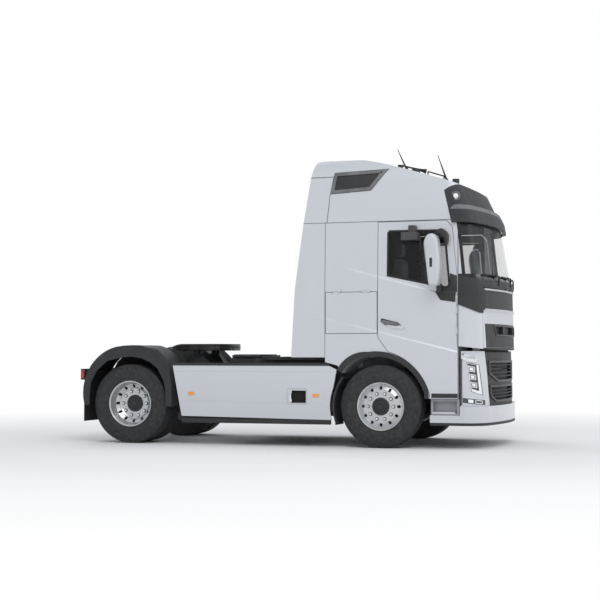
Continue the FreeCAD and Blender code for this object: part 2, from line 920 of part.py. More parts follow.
# Doors and lockers
HANDLE_SHARES = (
    (0.4354, 0.3009),
    (0.4313, 0.2922),
    (0.4542, 0.2821),
    (0.5167, 0.2759),
    (0.5312, 0.2806),
    (0.5167, 0.2884),
)
door_panel = cut("DoorPanel", shared("DoorSkin", [cab_skin, door_tool, under_seam]), window_tool)
handle = prism("DoorHandle", "XZ", placed(HANDLE_SHARES, cab_x, cab_z),
               half_width, half_width + size("handle_depth"))
door_leaf = cut("DoorLeaf", door_panel, side_pockets)
keep_pair("door", joined("Door", [door_leaf, handle] + door_sides))
locker_leaf = cut("LockerLeaf", shared("LockerSkin", [cab_skin, locker_tool]), side_pockets)
keep_pair("locker", joined("Locker", [locker_leaf] + locker_sides))

# Front lid with its upper grille and bright strips
GRILLE_FOOT_SHARES = (1.0, 0.1912)
GRILLE_OPENING_SHARES = (
    (0.6, 0.2868),
    (0.545, 0.2558),
)
lid_edge = lid_half - gap
nose_end = cab_x(1.0) + overrun
lid_foot = placed([GRILLE_FOOT_SHARES], cab_x, cab_z)[0]
lid_tool = block("LidTool", (bay_back + gap, -lid_edge, lid_foot[1]),
                 (nose_end, lid_edge, lid_top - gap))
lid_back = nose_prism("LidBack", lid_foot, GRILLE_LEAN_SHARE, size("lid_thick"))
lid_skin = cut("LidSkin", cab_solid, lid_back)
lid_whole = shared("LidWhole", [lid_skin, lid_tool])
upper_half = placed(GRILLE_OPENING_SHARES, cab_y, cab_z)
upper_outline = upper_half + [(-side, up) for side, up in reversed(upper_half)]
UPPER_GRILLE_SHARES = (
    (0.85, 0.2969),
    (0.835, 0.2022),
)
grille_half = placed(UPPER_GRILLE_SHARES, cab_y, cab_z)
grille_outline = grille_half + [(-side, up) for side, up in reversed(grille_half)]
upper_tool = prism("UpperGrilleTool", "YZ", grille_outline, bay_back, nose_end)
upper_hole = prism("UpperGrilleHole", "YZ", upper_outline, bay_back, nose_end)
lid_leaf = cut("LidLeaf", cut("LidFrame", lid_whole, upper_tool), all_pockets)
keep("front_lid", joined("FrontLid", [lid_leaf, lid_side, mirrored("LidSideRight", lid_side)]))
bar = size("bar_thick")
UPPER_BAR_SHARES = (0.235, 0.305, 0.25, 0.292)
upper_bar = block("UpperGrilleBar",
                  (bay_back, cab_y(UPPER_BAR_SHARES[0]), cab_z(UPPER_BAR_SHARES[2])),
                  (nose_end, cab_y(UPPER_BAR_SHARES[1]), cab_z(UPPER_BAR_SHARES[3])))
upper_bars = gathered("UpperGrilleBars", [upper_bar, mirrored("UpperGrilleBarRight", upper_bar)])
upper_plate = cut("UpperGrillePlate", shared("UpperGrilleSkin", [lid_whole, upper_tool]), upper_hole)
bar_face = shared("UpperBarFace", [lid_whole, upper_bars])
keep("upper_grille", joined("UpperGrille", [upper_plate, bar_face]))

strip_solid = cab_volume("StripForm", -trim_thick)
strip_skin = cut("StripSkin", strip_solid, visor_seat)
STRIP_BAND_SHARES = ((0.4301, 0.437, 0.84), (0.3455, 0.3567, 0.84))
strips = []
for number, (low_share, high_share, side_share) in enumerate(STRIP_BAND_SHARES):
    band = block("StripBand%d" % number, (bay_back, -cab_y(side_share), cab_z(low_share)),
                 (nose_end, cab_y(side_share), cab_z(high_share)))
    strips.append(shared("Strip%d" % number, [strip_skin, band]))
keep("lid_strips", gathered("LidStrips", strips))

# Black band under the windscreen, carried round to the doors
SCUTTLE_SHARES = (
    (0.8956, 0.4451),
    (0.8956, 0.4734),
)
PILLAR_SHARES = (
    (0.8171, 0.3718),
    (0.8171, 0.4875),
    (0.8379, 0.4815),
    (0.9292, 0.4734),
    (1.0167, 0.4734),
    (1.0167, 0.3392),
    (0.9292, 0.3392),
)
scuttle_half = placed(SCUTTLE_SHARES, cab_y, cab_z)
scuttle_outline = scuttle_half + [(-side, up) for side, up in reversed(scuttle_half)]
scuttle_tool = prism("ScuttleTool", "YZ", scuttle_outline, cab_x(0.8708), nose_end)
pillar_tool = prism("PillarTool", "XZ", placed(PILLAR_SHARES, cab_x, cab_z),
                    lid_half, half_width + overrun)
black_tools = joined("BlackTools", [scuttle_tool, pillar_tool,
                                    mirrored("PillarToolRight", pillar_tool)])
keep("scuttle_panel", shared("ScuttlePanel", [strip_skin, black_tools]))

# Wheel arch trims
ARCH_OUTER_SHARES = (
    (0.6354, 0.0),
    (0.6354, 0.0188),
    ("via", 0.5292, 0.1285),
    (0.3292, 0.1646),
    ("via", 0.2313, 0.1426),
    (0.1833, 0.1003),
    (0.1571, 0.1129),
    ("via", 0.2146, 0.1624),
    (0.3292, 0.185),
    ("via", 0.5492, 0.1436),
    (0.6583, 0.0219),
    (0.6583, 0.0),
)
arch_trim = prism("ArchTrim", "XZ", placed(ARCH_OUTER_SHARES, cab_x, cab_z),
                  half_width + fit, half_width + trim_thick)
keep("arch_trims", both_sides("ArchTrims", arch_trim))

# Side deflectors behind the cab
DEFLECTOR_SHARES = (
    (0.0875, 0.163),
    (0.0875, 0.8956),
    (0.0008, 0.8956),
    (-0.0375, 0.71),
    (-0.0833, 0.442),
    (-0.1042, 0.163),
)
deflector_side = prism("DeflectorSide", "XZ", placed(DEFLECTOR_SHARES, cab_x, cab_z),
                       -half_width - overrun, half_width + overrun)
deflector_front = prism("DeflectorFront", "YZ",
                        both_halves(placed(CAB_FRONT_SHARES, cab_y, cab_z), 0),
                        cab_x(0.0) - size("wheelbase"), cab_x(1.0))
deflector_core = prism("DeflectorCore", "YZ",
                       both_halves(placed(CAB_FRONT_SHARES,
                                          lambda share: cab_y(share, size("skirt_thick")),
                                          lambda share: cab_z(share, size("skirt_thick"))), 0),
                       cab_x(0.0) - size("wheelbase") - overrun, cab_x(1.0) + overrun)
deflector_low = block("DeflectorLow", (cab_x(0.0) - size("wheelbase"), ZERO, below),
                      (cab_x(1.0), half_width + overrun, cab_z(0.8956)))
deflector = cut("Deflector", shared("DeflectorForm",
                                    [deflector_side, deflector_front, deflector_low]),
                deflector_core)
keep("side_deflectors", both_sides("SideDeflectors", deflector))

# Roof fittings: two whip aerials, round bases and a sloping grab rail
AERIAL_SHARES = ((0.5129, 0.9248, 0.4617, 1.011),
                 (0.7325, 0.875, 0.6833, 0.9803))
FITTINGS_SIDE_SHARE = -0.747
roof_bits = []
fitting = size("fitting_radius")
fittings_side = cab_y(FITTINGS_SIDE_SHARE)
for number, (foot_x, foot_z, tip_x, tip_z) in enumerate(AERIAL_SHARES):
    foot = (cab_x(foot_x), fittings_side, cab_z(foot_z))
    base = rod("AerialBase%d" % number, "Z",
               (foot[0], foot[1], foot[2] - fitting * 3), fitting * 4, fitting)
    whip = strut("Aerial%d" % number, foot, (cab_x(tip_x), fittings_side, cab_z(tip_z)), fitting / 4)
    roof_bits.append(cut("AerialSeated%d" % number,
                         joined("AerialWhole%d" % number, [base, whip]), visor_seat))
# Each round base: place along the cab, height of its top, radius in fitting radii
BASE_SHARES = ((0.477, 0.9467, 2.0), (0.5625, 0.9255, 3.2), (0.7813, 0.8805, 2.5))
for number, (along_share, top_share, radius_share) in enumerate(BASE_SHARES):
    top = cab_z(top_share)
    base = rod("RoofBase%d" % number, "Z",
               (cab_x(along_share), fittings_side, top - fitting * 6), fitting * 6,
               fitting * radius_share)
    roof_bits.append(cut("RoofBaseSeated%d" % number, base, visor_seat))
RAIL_SHARES = ((0.629, 0.9154), (0.7167, 0.8942))
rail_ends = [(cab_x(along_share), fittings_side, cab_z(up_share))
             for along_share, up_share in RAIL_SHARES]
rail_legs = [rod("RoofRailLeg%d" % number, "Z",
                 (place[0], place[1], place[2] - fitting * 6), fitting * 6, fitting / 2)
             for number, place in enumerate(rail_ends)]
roof_rail = strut("RoofRail", rail_ends[0], rail_ends[1], fitting / 2)
roof_bits.append(cut("RoofRailSeated", joined("RoofRailWhole", [roof_rail] + rail_legs), visor_seat))
keep("roof_fittings", gathered("RoofFittings", roof_bits))

# Mirrors on the doors, each with a foot plate and two arms
MIRROR_CASE_SHARES = (
    (0.6583, 0.6113),
    (0.6958, 0.652),
    (0.7313, 0.6567),
    (0.74, 0.5361),
    (0.7383, 0.4389),
    (0.6875, 0.4545),
)
MIRROR_FOOT_SHARES = (
    (0.6938, 0.4232),
    (0.8063, 0.4285),
    (0.8029, 0.3815),
    (0.7229, 0.39),
)
# Each arm: its low and high edge, then its plan from the door to the case
MIRROR_ARM_SHARES = (
    (0.6364, 0.6489, ((0.7583, -0.5), (0.775, -0.5), (0.7313, 1.2), (0.7146, 1.2))),
    (0.42, 0.4548, ((0.7083, -0.5), (0.7333, -0.5), (0.7333, 1.3), (0.7083, 1.3))),
)
mirror_inner = half_width + size("mirror_standoff")
mirror_outer = mirror_inner + size("mirror_width")


def mirror_y(share):
    return half_width + (mirror_inner - half_width) * share


mirror_parts = [
    prism("MirrorCase", "XZ", placed(MIRROR_CASE_SHARES, cab_x, cab_z), mirror_inner, mirror_outer),
    prism("MirrorFoot", "XZ", placed(MIRROR_FOOT_SHARES, cab_x, cab_z),
          half_width - trim_thick, half_width + trim_thick),
]
for number, (low_share, high_share, shares) in enumerate(MIRROR_ARM_SHARES):
    mirror_parts.append(prism("MirrorArm%d" % number, "XY", placed(shares, cab_x, mirror_y),
                              cab_z(low_share), cab_z(high_share)))
mirror = cut("Mirror", joined("MirrorBody", mirror_parts), visor_seat)
keep("mirror_left", mirror)

# The right door carries a kerb mirror too, above its window
KERB_BODY_SHARES = ((0.5292, 0.53, 0.627), (0.6167, 2.18, 0.6583))
KERB_ARM_SHARES = ((0.5583, -0.5, 0.6552), (0.5958, 1.0, 0.688))
kerb_parts = []
for label, shares in (("Body", KERB_BODY_SHARES), ("Arm", KERB_ARM_SHARES)):
    corners = [(cab_x(along), -mirror_y(side), cab_z(up)) for along, side, up in shares]
    kerb_parts.append(plate("Kerb%s" % label, corners[0], corners[1]))
kerb_mirror = cut("KerbMirror", joined("KerbWhole", kerb_parts), visor_seat)
keep("mirror_right", gathered("MirrorsRight", [mirrored("MirrorRight", mirror), kerb_mirror]))

# Inside of the cab
floor = tunnel_top + floor_thick + fit
seat_x = cab_x(0.4167)
seat_y = size("seat_spacing") / 2
seat_half = size("seat_width") / 2
seat_deep = size("seat_depth")
cushion = size("cushion_thick")
seat_top = floor + size("seat_height")
rest = size("backrest_thick")
seat_foot = block("SeatFoot", (seat_x + rest, seat_y - seat_half / 2, floor),
                  (seat_x + seat_deep - rest, seat_y + seat_half / 2, seat_top - cushion - fit))
keep("seat_bases", both_sides("SeatBases", seat_foot))
seat_cushion = block("SeatCushion", (seat_x, seat_y - seat_half, seat_top - cushion),
                     (seat_x + seat_deep, seat_y + seat_half, seat_top))
seat_back = block("SeatBack", (seat_x, seat_y - seat_half, seat_top),
                  (seat_x + rest, seat_y + seat_half, seat_top + size("backrest_height")))
keep("seat_cushions", both_sides("SeatCushions", joined("SeatSoft", [seat_cushion, seat_back])))
bunk_back = cab_x(0.0875) + wall + gap
bunk_side = half_width - wall * 2
keep("bunk", block("Bunk", (bunk_back, -bunk_side, floor + size("bunk_height")),
                   (bunk_back + size("bunk_width") - rest, bunk_side,
                    floor + size("bunk_height") + size("bunk_thick"))))
bunk_box = block("BunkBox", (bunk_back, -tunnel_half, floor),
                 (bunk_back + size("bunk_width") - rest * 2, tunnel_half,
                  floor + size("bunk_height") - fit))
keep("bunk_base", bunk_box)

dash_front = bay_back - floor_thick - fit
dash_half = half_width - wall * 2
DASH_SHARES = (
    (0.0, 0.0),
    (0.0, 0.55),
    (-0.45, 0.6),
    (-0.7, 0.85),
    (-1.0, 0.8),
    (-1.0, 0.95),
    (-0.6, 1.0),
    (0.0, 1.0),
)


def dash_x(share):
    return dash_front + size("dash_depth") * share


def dash_z(share):
    return floor + size("dash_height") * share


dash_form = prism("DashForm", "XZ", placed(DASH_SHARES, dash_x, dash_z), -dash_half, dash_half)
dash_body = shared("DashBody", [dash_form, cab_volume("DashRoom", wall + fit)])
ring = size("wheel_ring_radius")
ring_thick = size("wheel_ring_thick")
column_end = (dash_x(-1.35), seat_y, dash_z(1.15))
column = strut("Column", (dash_x(-0.5), seat_y, dash_z(0.75)), column_end, size("column_radius"))
steering_ring = document.addObject("Part::Torus", "SteeringRing")
heading = FreeCAD.Vector(column_end[0].value - dash_x(-0.5).value, 0,
                         column_end[2].value - dash_z(0.75).value)
steering_ring.Placement = FreeCAD.Placement(
    FreeCAD.Vector(), FreeCAD.Rotation(FreeCAD.Vector(0, 0, 1), heading))
bind(steering_ring, "Radius1", ring)
bind(steering_ring, "Radius2", ring_thick / 2)
settle(steering_ring, column_end)
spoke = block("Spoke", (column_end[0] - ring_thick / 2, seat_y - ring, column_end[2] - ring_thick / 2),
              (column_end[0] + ring_thick / 2, seat_y + ring, column_end[2] + ring_thick / 2))
dashboard = keep("dashboard", joined("Dashboard", [dash_body, column]))
keep("steering_wheel", cut("SteeringWheel", joined("SteeringParts", [steering_ring, spoke]),
                           dashboard))

# Frame: two channel rails and their cross-members
rail_top = size("rail_top")
rail_low = rail_top - size("rail_height")
rail_outer = size("rail_spacing") / 2
web = size("rail_web")
flange = size("rail_flange")
frame_front = front_axle + size("frame_nose")
lamp_back = rear_axle - size("rear_overhang")
flap_thick = size("flap_thick")
frame_rear = lamp_back + size("lamp_depth")
RAIL_PLACES = (
    (rail_outer, rail_low),
    (rail_outer, rail_top),
    (rail_outer - flange, rail_top),
    (rail_outer - flange, rail_top - web),
    (rail_outer - web, rail_top - web),
    (rail_outer - web, rail_low + web),
    (rail_outer - flange, rail_low + web),
    (rail_outer - flange, rail_low),
)
rail = prism("Rail", "YZ", list(RAIL_PLACES), frame_rear, frame_front)
CROSS_SHARES = (0.2, 0.36, 0.985)
member_thick = size("crossmember_thick")
members = [block("RearMember", (frame_rear, -rail_outer + web, rail_low + web * 2),
                 (frame_rear + web, rail_outer - web, rail_top - web * 2))]
for number, share in enumerate(CROSS_SHARES):
    back = frame_rear + (frame_front - frame_rear) * share
    members.append(block("CrossMember%d" % number,
                         (back, -rail_outer + web, rail_top - size("crossmember_height")),
                         (back + member_thick, rail_outer - web, rail_top - web * 2)))

# Front brackets with the cab's tilt tube and the underrun beam, and the cab's rear posts
BRACKET_SHARES = (
    (-0.35, 0.0),
    (-0.35, 1.0),
    (0.83, 1.72),
    (1.0, 1.72),
    (1.0, 1.45),
    (0.5, 0.8),
    (0.6, -0.65),
    (1.2, -0.75),
    (1.2, -1.15),
    (0.3, -1.15),
)


def bracket_x(share):
    return frame_front + (tilt_x + tube_radius - frame_front) * share


def bracket_z(share):
    return rail_low + size("rail_height") * share


bracket_back = rail_outer - flange
bracket = prism("FrontBracket", "XZ", placed(BRACKET_SHARES, bracket_x, bracket_z),
                bracket_back, bracket_back + size("bracket_thick"))
tilt_tube = rod("TiltTube", "Y", (tilt_x, -size("tube_half_length"), tilt_z),
                size("tube_half_length") * 2, tube_radius)
post = size("cab_post")
post_x = cab_x(0.1417)
cab_support = block("CabPost", (post_x - post, rail_outer - post, rail_top - web),
                    (post_x, rail_outer, tunnel_top - fit))
bumper_nose = front_axle + size("front_overhang")
skin = size("bumper_wall")
bumper_side = half_width - overrun / 2
beam_half_length = size("beam_half_length")
beam_low_edge = bracket_z(-1.15)
beam_high_edge = bracket_z(-0.75)


def nose_ring(name, nose, half, thick, low, high, inset=ZERO):
    """A band that follows the nose's plan, with the thickness of its wall."""
    outer = nose_prism(name + "Outer", (nose, low), 0.0, inset, half, low, high)
    inner = nose_prism(name + "Inner", (nose, low), 0.0, inset + thick, half, low - overrun,
                       high + overrun)
    return cut(name, outer, inner)


beam_ring = nose_ring("BeamRing", bumper_nose, bumper_side, size("beam_depth"),
                      beam_low_edge, beam_high_edge, skin + fit)
beam_room = block("BeamRoom", (frame_front, -beam_half_length, beam_low_edge),
                  (bumper_nose, beam_half_length, beam_high_edge))
beam_band = shared("UnderrunBeam", [beam_ring, beam_room])
side_frame = joined("SideFrame", [rail, bracket, cab_support])
keep("chassis_frame", joined("ChassisFrame", [side_frame, mirrored("SideFrameRight", side_frame),
                                              tilt_tube, beam_band] + members))

# Bumper, its corner units and the lower grille share the nose's plan
bumper_half = size("bumper_half_width")
bumper_low = size("bumper_bottom")
bumper_top = size("bumper_top")
corner_top = size("corner_top")
corner_rear = front_axle + size("corner_rear")
bumper_rear = front_axle + size("bumper_rear")


bumper_ring = nose_ring("BumperRing", bumper_nose, bumper_side, skin,
                        bumper_low, bumper_top)
bumper_room = block("BumperRoom", (bumper_rear, -half_width, bumper_low),
                    (bumper_nose, half_width, bumper_top))
step_cut = block("StepCut", (bumper_rear - overrun, -half_width, size("step_ledge")),
                 (corner_rear - gap, half_width, bumper_top + overrun))
keep("front_bumper", cut("FrontBumper", shared("BumperBand", [bumper_ring, bumper_room]), step_cut))

corner_ring = nose_ring("CornerRing", bumper_nose - skin, bumper_half, skin,
                        bumper_top + fit, corner_top)
grille_half_width = size("grille_half_width")
grille_top = size("grille_top")


def grille_y(share):
    return grille_half_width * share


def grille_z(share):
    return bumper_top + (grille_top - bumper_top) * share


def corner_x(share):
    return corner_rear + (bumper_nose - skin - corner_rear) * share


def corner_z(share):
    return bumper_top + (corner_top - bumper_top) * share


# The grille's edges lean outwards from the bumper to the cab
GRILLE_EDGE_SHARES = ((0.89, 0.0), (1.05, 1.03))
grille_edge = placed(GRILLE_EDGE_SHARES, grille_y, corner_z)
corner_outline = [
    (grille_edge[0][0] + fit, grille_edge[0][1] + fit),
    (grille_edge[1][0] + fit, grille_edge[1][1] + fit),
    (half_width, grille_edge[1][1] + fit),
    (half_width, grille_edge[0][1] + fit),
]
corner_wedge = prism("CornerWedge", "YZ", corner_outline, corner_rear, bumper_nose)
corner_side = shared("CornerSide", [corner_ring, corner_wedge])


LAMP_SHARES = (
    (0.17, 0.8),
    (0.54, 0.755),
    (0.64, 0.194),
    (0.31, 0.266),
)
FOG_SHARES = (
    (0.05, 0.155),
    (0.68, 0.11),
    (0.68, 0.02),
    (0.05, 0.066),
)
nose_rear = corner_rear - overrun
lamp_tool = prism("LampTool", "XZ", placed(LAMP_SHARES, corner_x, corner_z), ZERO, half_width)
fog_tool = prism("FogTool", "XZ", placed(FOG_SHARES, corner_x, corner_z), ZERO, half_width)
lamp_tools = gathered("LampTools", [lamp_tool, fog_tool])
keep("corner_panels", both_sides("CornerPanels", cut("CornerPanel", corner_side, lamp_tools)))
lamp_ring = nose_ring("LampRing", bumper_nose - skin - fit * 2, bumper_half - fit * 2,
                      skin - fit * 4, bumper_top + fit, corner_top)
lamps = shared("LampLens", [lamp_ring, corner_wedge, lamp_tools])
keep("headlamps", both_sides("Headlamps", lamps))

grille_ring = nose_ring("GrilleRing", bumper_nose - size("grille_setback"), bumper_half,
                        size("grille_thick"), bumper_top + fit, grille_top)
grille_room = prism("GrilleRoom", "YZ",
                    grille_edge + [(-side, up) for side, up in reversed(grille_edge)],
                    corner_rear, bumper_nose)
LOWER_OPENINGS_SHARES = (
    ((0.873, 0.8), (0.859, 0.609), (0.545, 0.484)),
    ((0.846, 0.34), (0.799, 0.188), (0.626, 0.106)),
)
grille_holes = []
for number, shares in enumerate(LOWER_OPENINGS_SHARES):
    half = placed(shares, grille_y, grille_z)
    outline = half + [(-side, up) for side, up in reversed(half)]
    grille_holes.append(prism("GrilleHole%d" % number, "YZ", outline, nose_rear, nose_end))
grille_plate = cut("GrillePlate", shared("GrilleBand", [grille_ring, grille_room]),
                   gathered("GrilleHoles", grille_holes))
GRILLE_BAR_SHARES = (0.15, 0.21, 0.27, 0.54, 0.61, 0.68, 0.75)
GRILLE_BAR_REACH_SHARE = 0.9
grille_bars = []
for number, share in enumerate(GRILLE_BAR_SHARES):
    grille_bars.append(block("GrilleBar%d" % number,
                             (corner_rear, -grille_y(GRILLE_BAR_REACH_SHARE), grille_z(share)),
                             (bumper_nose, grille_y(GRILLE_BAR_REACH_SHARE),
                              grille_z(share) + bar / 2)))
bars = shared("GrilleBars", [gathered("GrilleBarSet", grille_bars),
                             shared("GrilleBarBand", [grille_ring, grille_room])])
keep("lower_grille", joined("LowerGrille", [grille_plate, bars]))

# Entry steps under the doors
step_inner = tunnel_half + gap * 2
step_outer = bumper_side + size("nose_margin") - fit
step_floor = size("step_ledge")
step_top = cab_z(0.0) - gap
tread = size("step_tread")
step_rear = bumper_rear + gap
step_front = bumper_nose - skin - (cab_x(1.0) - cab_x(0.0)) * (1 - STRAIGHT_SHARE)
step_box = block("StepBox", (step_rear, step_inner, bumper_low),
                 (step_front, step_outer - skin, step_top))
step_well = block("StepWell", (step_rear + skin, step_inner + skin, step_floor + tread),
                  (step_front - skin, step_outer + overrun, step_top - tread))
step_low = block("StepLow", (step_rear + skin, step_inner + skin, bumper_low - overrun),
                 (step_front - skin, step_outer - skin * 3, step_floor))
keep("entry_steps", both_sides("EntrySteps",
                               cut("EntryStep", cut("EntryStepWell", step_box, step_well), step_low)))

# Engine, gearbox, propeller shaft and radiator
engine_back = front_axle - size("engine_setback")
engine_low = size("engine_bottom")
engine_front = engine_back + size("engine_length")
keep("engine_block", block("EngineBlock", (engine_back, -rail_outer + flange + fit, rail_low + gap),
                           (engine_front, rail_outer - flange - fit, size("engine_top"))))
gearbox_z = rail_top - size("rail_height") / 2
gearbox_radius = size("gearbox_radius")
gearbox_back = engine_back - size("gearbox_length")
gearbox = rod("Gearbox", "X", (gearbox_back, ZERO, gearbox_z), size("gearbox_length") - fit,
              gearbox_radius)
propshaft = strut("Propshaft", (rear_axle + size("bowl_radius"), ZERO, tyre_radius),
                  (gearbox_back + overrun, ZERO, gearbox_z), size("propshaft_radius"))
keep("driveline", joined("Driveline", [gearbox, propshaft]))
radiator_back = engine_front + size("radiator_gap")
radiator_half = rail_outer - flange - fit
keep("radiator", block("Radiator", (radiator_back, -radiator_half, engine_low),
                       (radiator_back + size("radiator_thick"), radiator_half,
                        tunnel_top - overrun)))

# Front axle beam, springs and rear axle
kingpin_y = size("kingpin_offset")
beam_top = tyre_radius + size("beam_height") / 2
beam_low = beam_top - size("beam_height")
beam_half = size("beam_width") / 2
fist_half = size("fist_height") / 2
fist_radius = size("fist_radius")
kingpin_radius = size("kingpin_radius")
beam_y = kingpin_y - fist_radius / 2
drop = size("beam_drop")
spring_y = rail_outer + flange / 2 + gap
spring_half = size("spring_width") / 2
seat_edge = spring_y + spring_half + gap
BEAM_PLACES = (
    (beam_y, beam_top),
    (beam_y, beam_low),
    (beam_y - size("beam_neck"), beam_low),
    (seat_edge, beam_low - drop),
    (-seat_edge, beam_low - drop),
    (-beam_y + size("beam_neck"), beam_low),
    (-beam_y, beam_low),
    (-beam_y, beam_top),
    (-beam_y + size("beam_neck"), beam_top),
    (-seat_edge, beam_top - drop),
    (seat_edge, beam_top - drop),
    (beam_y - size("beam_neck"), beam_top),
)
beam = prism("AxleBeam", "YZ", list(BEAM_PLACES), front_axle - beam_half, front_axle + beam_half)
fist = rod("Fist", "Z", (front_axle, kingpin_y, tyre_radius - fist_half), size("fist_height"),
           fist_radius)
pin_bore = rod("PinBore", "Z", (front_axle, kingpin_y, tyre_radius - fist_half * 2),
               size("fist_height") * 2, kingpin_radius + pin_gap)
axle_solid = joined("FrontAxleSolid", [beam, fist, mirrored("FistRight", fist)])
keep("front_axle", cut("FrontAxle", axle_solid,
                       gathered("PinBores", [pin_bore, mirrored("PinBoreRight", pin_bore)])))

spring_low = beam_top - drop + fit
SPRING_SHARES = (
    (-1.0, 1.0),
    ("via", 0.0, 0.3),
    (1.0, 1.0),
    (1.0, 0.75),
    ("via", 0.0, 0.0),
    (-1.0, 0.75),
)
spring_length = size("spring_length") / 2


def spring_x(share):
    return front_axle + spring_length * share


def spring_z(share):
    return spring_low + (rail_low - spring_low - fit) * share


spring = prism("FrontSpring", "XZ", placed(SPRING_SHARES, spring_x, spring_z),
               spring_y - spring_half, spring_y + spring_half)
hangers = []
for number, end_share in enumerate((-1.0, 1.0)):
    hanger_x = spring_x(end_share)
    hangers.append(block("SpringHanger%d" % number,
                         (hanger_x - spring_half, rail_outer, spring_z(0.5)),
                         (hanger_x + spring_half, spring_y + spring_half, rail_low + flange)))
front_spring = joined("FrontSpringSet", [spring] + hangers)
bellows_x = rear_axle + size("bellows_ahead")
bellows_radius = size("bellows_radius")
tube_radius_rear = size("axle_tube_radius")
bellows_y = rail_outer - flange / 2
bellows_low = tyre_radius - tube_radius_rear - fit
bellows = rod("Bellows", "Z", (bellows_x, bellows_y, bellows_low),
              rail_low - fit - bellows_low, bellows_radius)
arm_low = bellows_low - size("arm_thick")
arm_solid = block("RearArm", (rear_axle - spring_half, bellows_y - spring_half, arm_low),
                  (bellows_x + bellows_radius, bellows_y + spring_half, bellows_low))
rear_set = joined("RearSpringSet", [bellows, arm_solid])
keep("suspension", gathered("Suspension",
                            [front_spring, mirrored("FrontSpringRight", front_spring),
                             rear_set, mirrored("RearSpringRight", rear_set)]))

axle_reach = size("axle_half_length")
drum_width = size("drum_width")
axle_tube = rod("AxleTube", "Y", (rear_axle, -axle_reach, tyre_radius), axle_reach * 2, tube_radius_rear)
bowl = rod("AxleBowl", "X", (rear_axle - size("bowl_width") / 2, ZERO, tyre_radius),
           size("bowl_width"), size("bowl_radius"))
rear_spindle = rod("RearSpindle", "Y", (rear_axle, -axle_reach - drum_width, tyre_radius),
                   (axle_reach + drum_width) * 2, size("hub_bore") - size("pin_gap"))
drum = rod("BrakeDrum", "Y", (rear_axle, size("drum_inner"), tyre_radius), drum_width,
           size("brake_radius"))
keep("rear_axle", cut("RearAxle",
                      joined("RearAxleSolid",
                             [axle_tube, rear_spindle, bowl, drum, mirrored("DrumRight", drum)]),
                      propshaft))

# Fuel tanks between the axles, behind the skirts
tank_inner = rail_outer + size("tank_gap")
tank_front = front_axle - size("tank_setback")
tank_low = size("tank_bottom")
tank_high = tank_low + size("tank_height")
tank_corner = size("tank_corner")
tank_outer = tank_inner + size("tank_width")
TANK_PLACES = (
    (tank_inner, tank_low),
    (tank_outer - tank_corner, tank_low),
    (tank_outer, tank_low + tank_corner),
    (tank_outer, tank_high - tank_corner),
    (tank_outer - tank_corner, tank_high),
    (tank_inner, tank_high),
)
tank = prism("FuelTank", "YZ", list(TANK_PLACES), tank_front - size("tank_length"), tank_front)
strap = size("tank_strap")
straps = []
for number, share in enumerate((0.2, 0.8)):
    strap_x = tank_front - size("tank_length") * share
    straps.append(block("TankBracket%d" % number, (strap_x - strap, rail_outer + fit, tank_low - strap / 2),
                        (strap_x, tank_outer - tank_corner, tank_low + strap / 2)))
    straps.append(block("TankHanger%d" % number, (strap_x - strap, rail_outer + fit, tank_low - strap / 2),
                        (strap_x, tank_inner + fit, rail_top - strap)))
keep("fuel_tanks", both_sides("FuelTanks", joined("FuelTankSet", [tank] + straps)))

# Side skirts with their dark strips
SKIRT_SHARES = (
    (0.0, 1.0),
    (0.057, 0.04),
    (0.969, 0.0),
    (0.9606, 0.203),
    ("via", 0.965, 0.42),
    (0.98, 0.592),
    (1.0, 0.93),
    (0.955, 1.0),
)
skirt_front = front_axle - size("skirt_front_gap")
skirt_rear = skirt_front - size("skirt_length")
skirt_low = size("skirt_bottom")
skirt_high = size("skirt_top")
skirt_thick = size("skirt_thick")


def skirt_x(share):
    return skirt_rear + (skirt_front - skirt_rear) * share


def skirt_z(share):
    return skirt_low + (skirt_high - skirt_low) * share


skirt_face = half_width - fit * 10
skirt = prism("Skirt", "XZ", placed(SKIRT_SHARES, skirt_x, skirt_z),
              skirt_face - skirt_thick, skirt_face)
RECESS_SHARES = (
    (0.72, 0.31),
    (0.72, 0.54),
    (0.82, 0.54),
    (0.82, 0.31),
)
recess = prism("SkirtRecess", "XZ", placed(RECESS_SHARES, skirt_x, skirt_z),
               skirt_face - overrun * 2, skirt_face + overrun)
skirt_parts = [cut("SkirtPanel", skirt, recess)]
for number, share in enumerate((0.2, 0.8)):
    strap_x = tank_front - size("tank_length") * share
    skirt_parts.append(block("SkirtBracket%d" % number,
                             (strap_x - strap, tank_outer + fit, tank_high - tank_corner * 2),
                             (strap_x, skirt_face - fit, tank_high - tank_corner * 2 + strap)))
keep("side_skirts", both_sides("SideSkirts", joined("SkirtSet", skirt_parts)))
strip_out = skirt_face + size("strip_overhang")
top_strip = block("TopStrip", (skirt_x(0.0), skirt_face - skirt_thick * 3, skirt_high + fit),
                  (skirt_x(0.955), strip_out, skirt_high + size("strip_height")))
sill = block("SillStrip", (skirt_x(0.06), skirt_face - skirt_thick * 2, skirt_low - size("sill_height")),
             (skirt_x(0.962), strip_out, skirt_low - fit))
keep("skirt_strips", both_sides("SkirtStrips", gathered("SkirtStripSet", [top_strip, sill])))

# Mudguards and flaps
guard_radius = size("guard_radius")
guard_tube_radius = size("guard_tube_radius")
guard_thick = size("guard_thick")


def round_point(centre, radius, across_share, up_share):
    return (centre + radius * across_share, tyre_radius + radius * up_share)


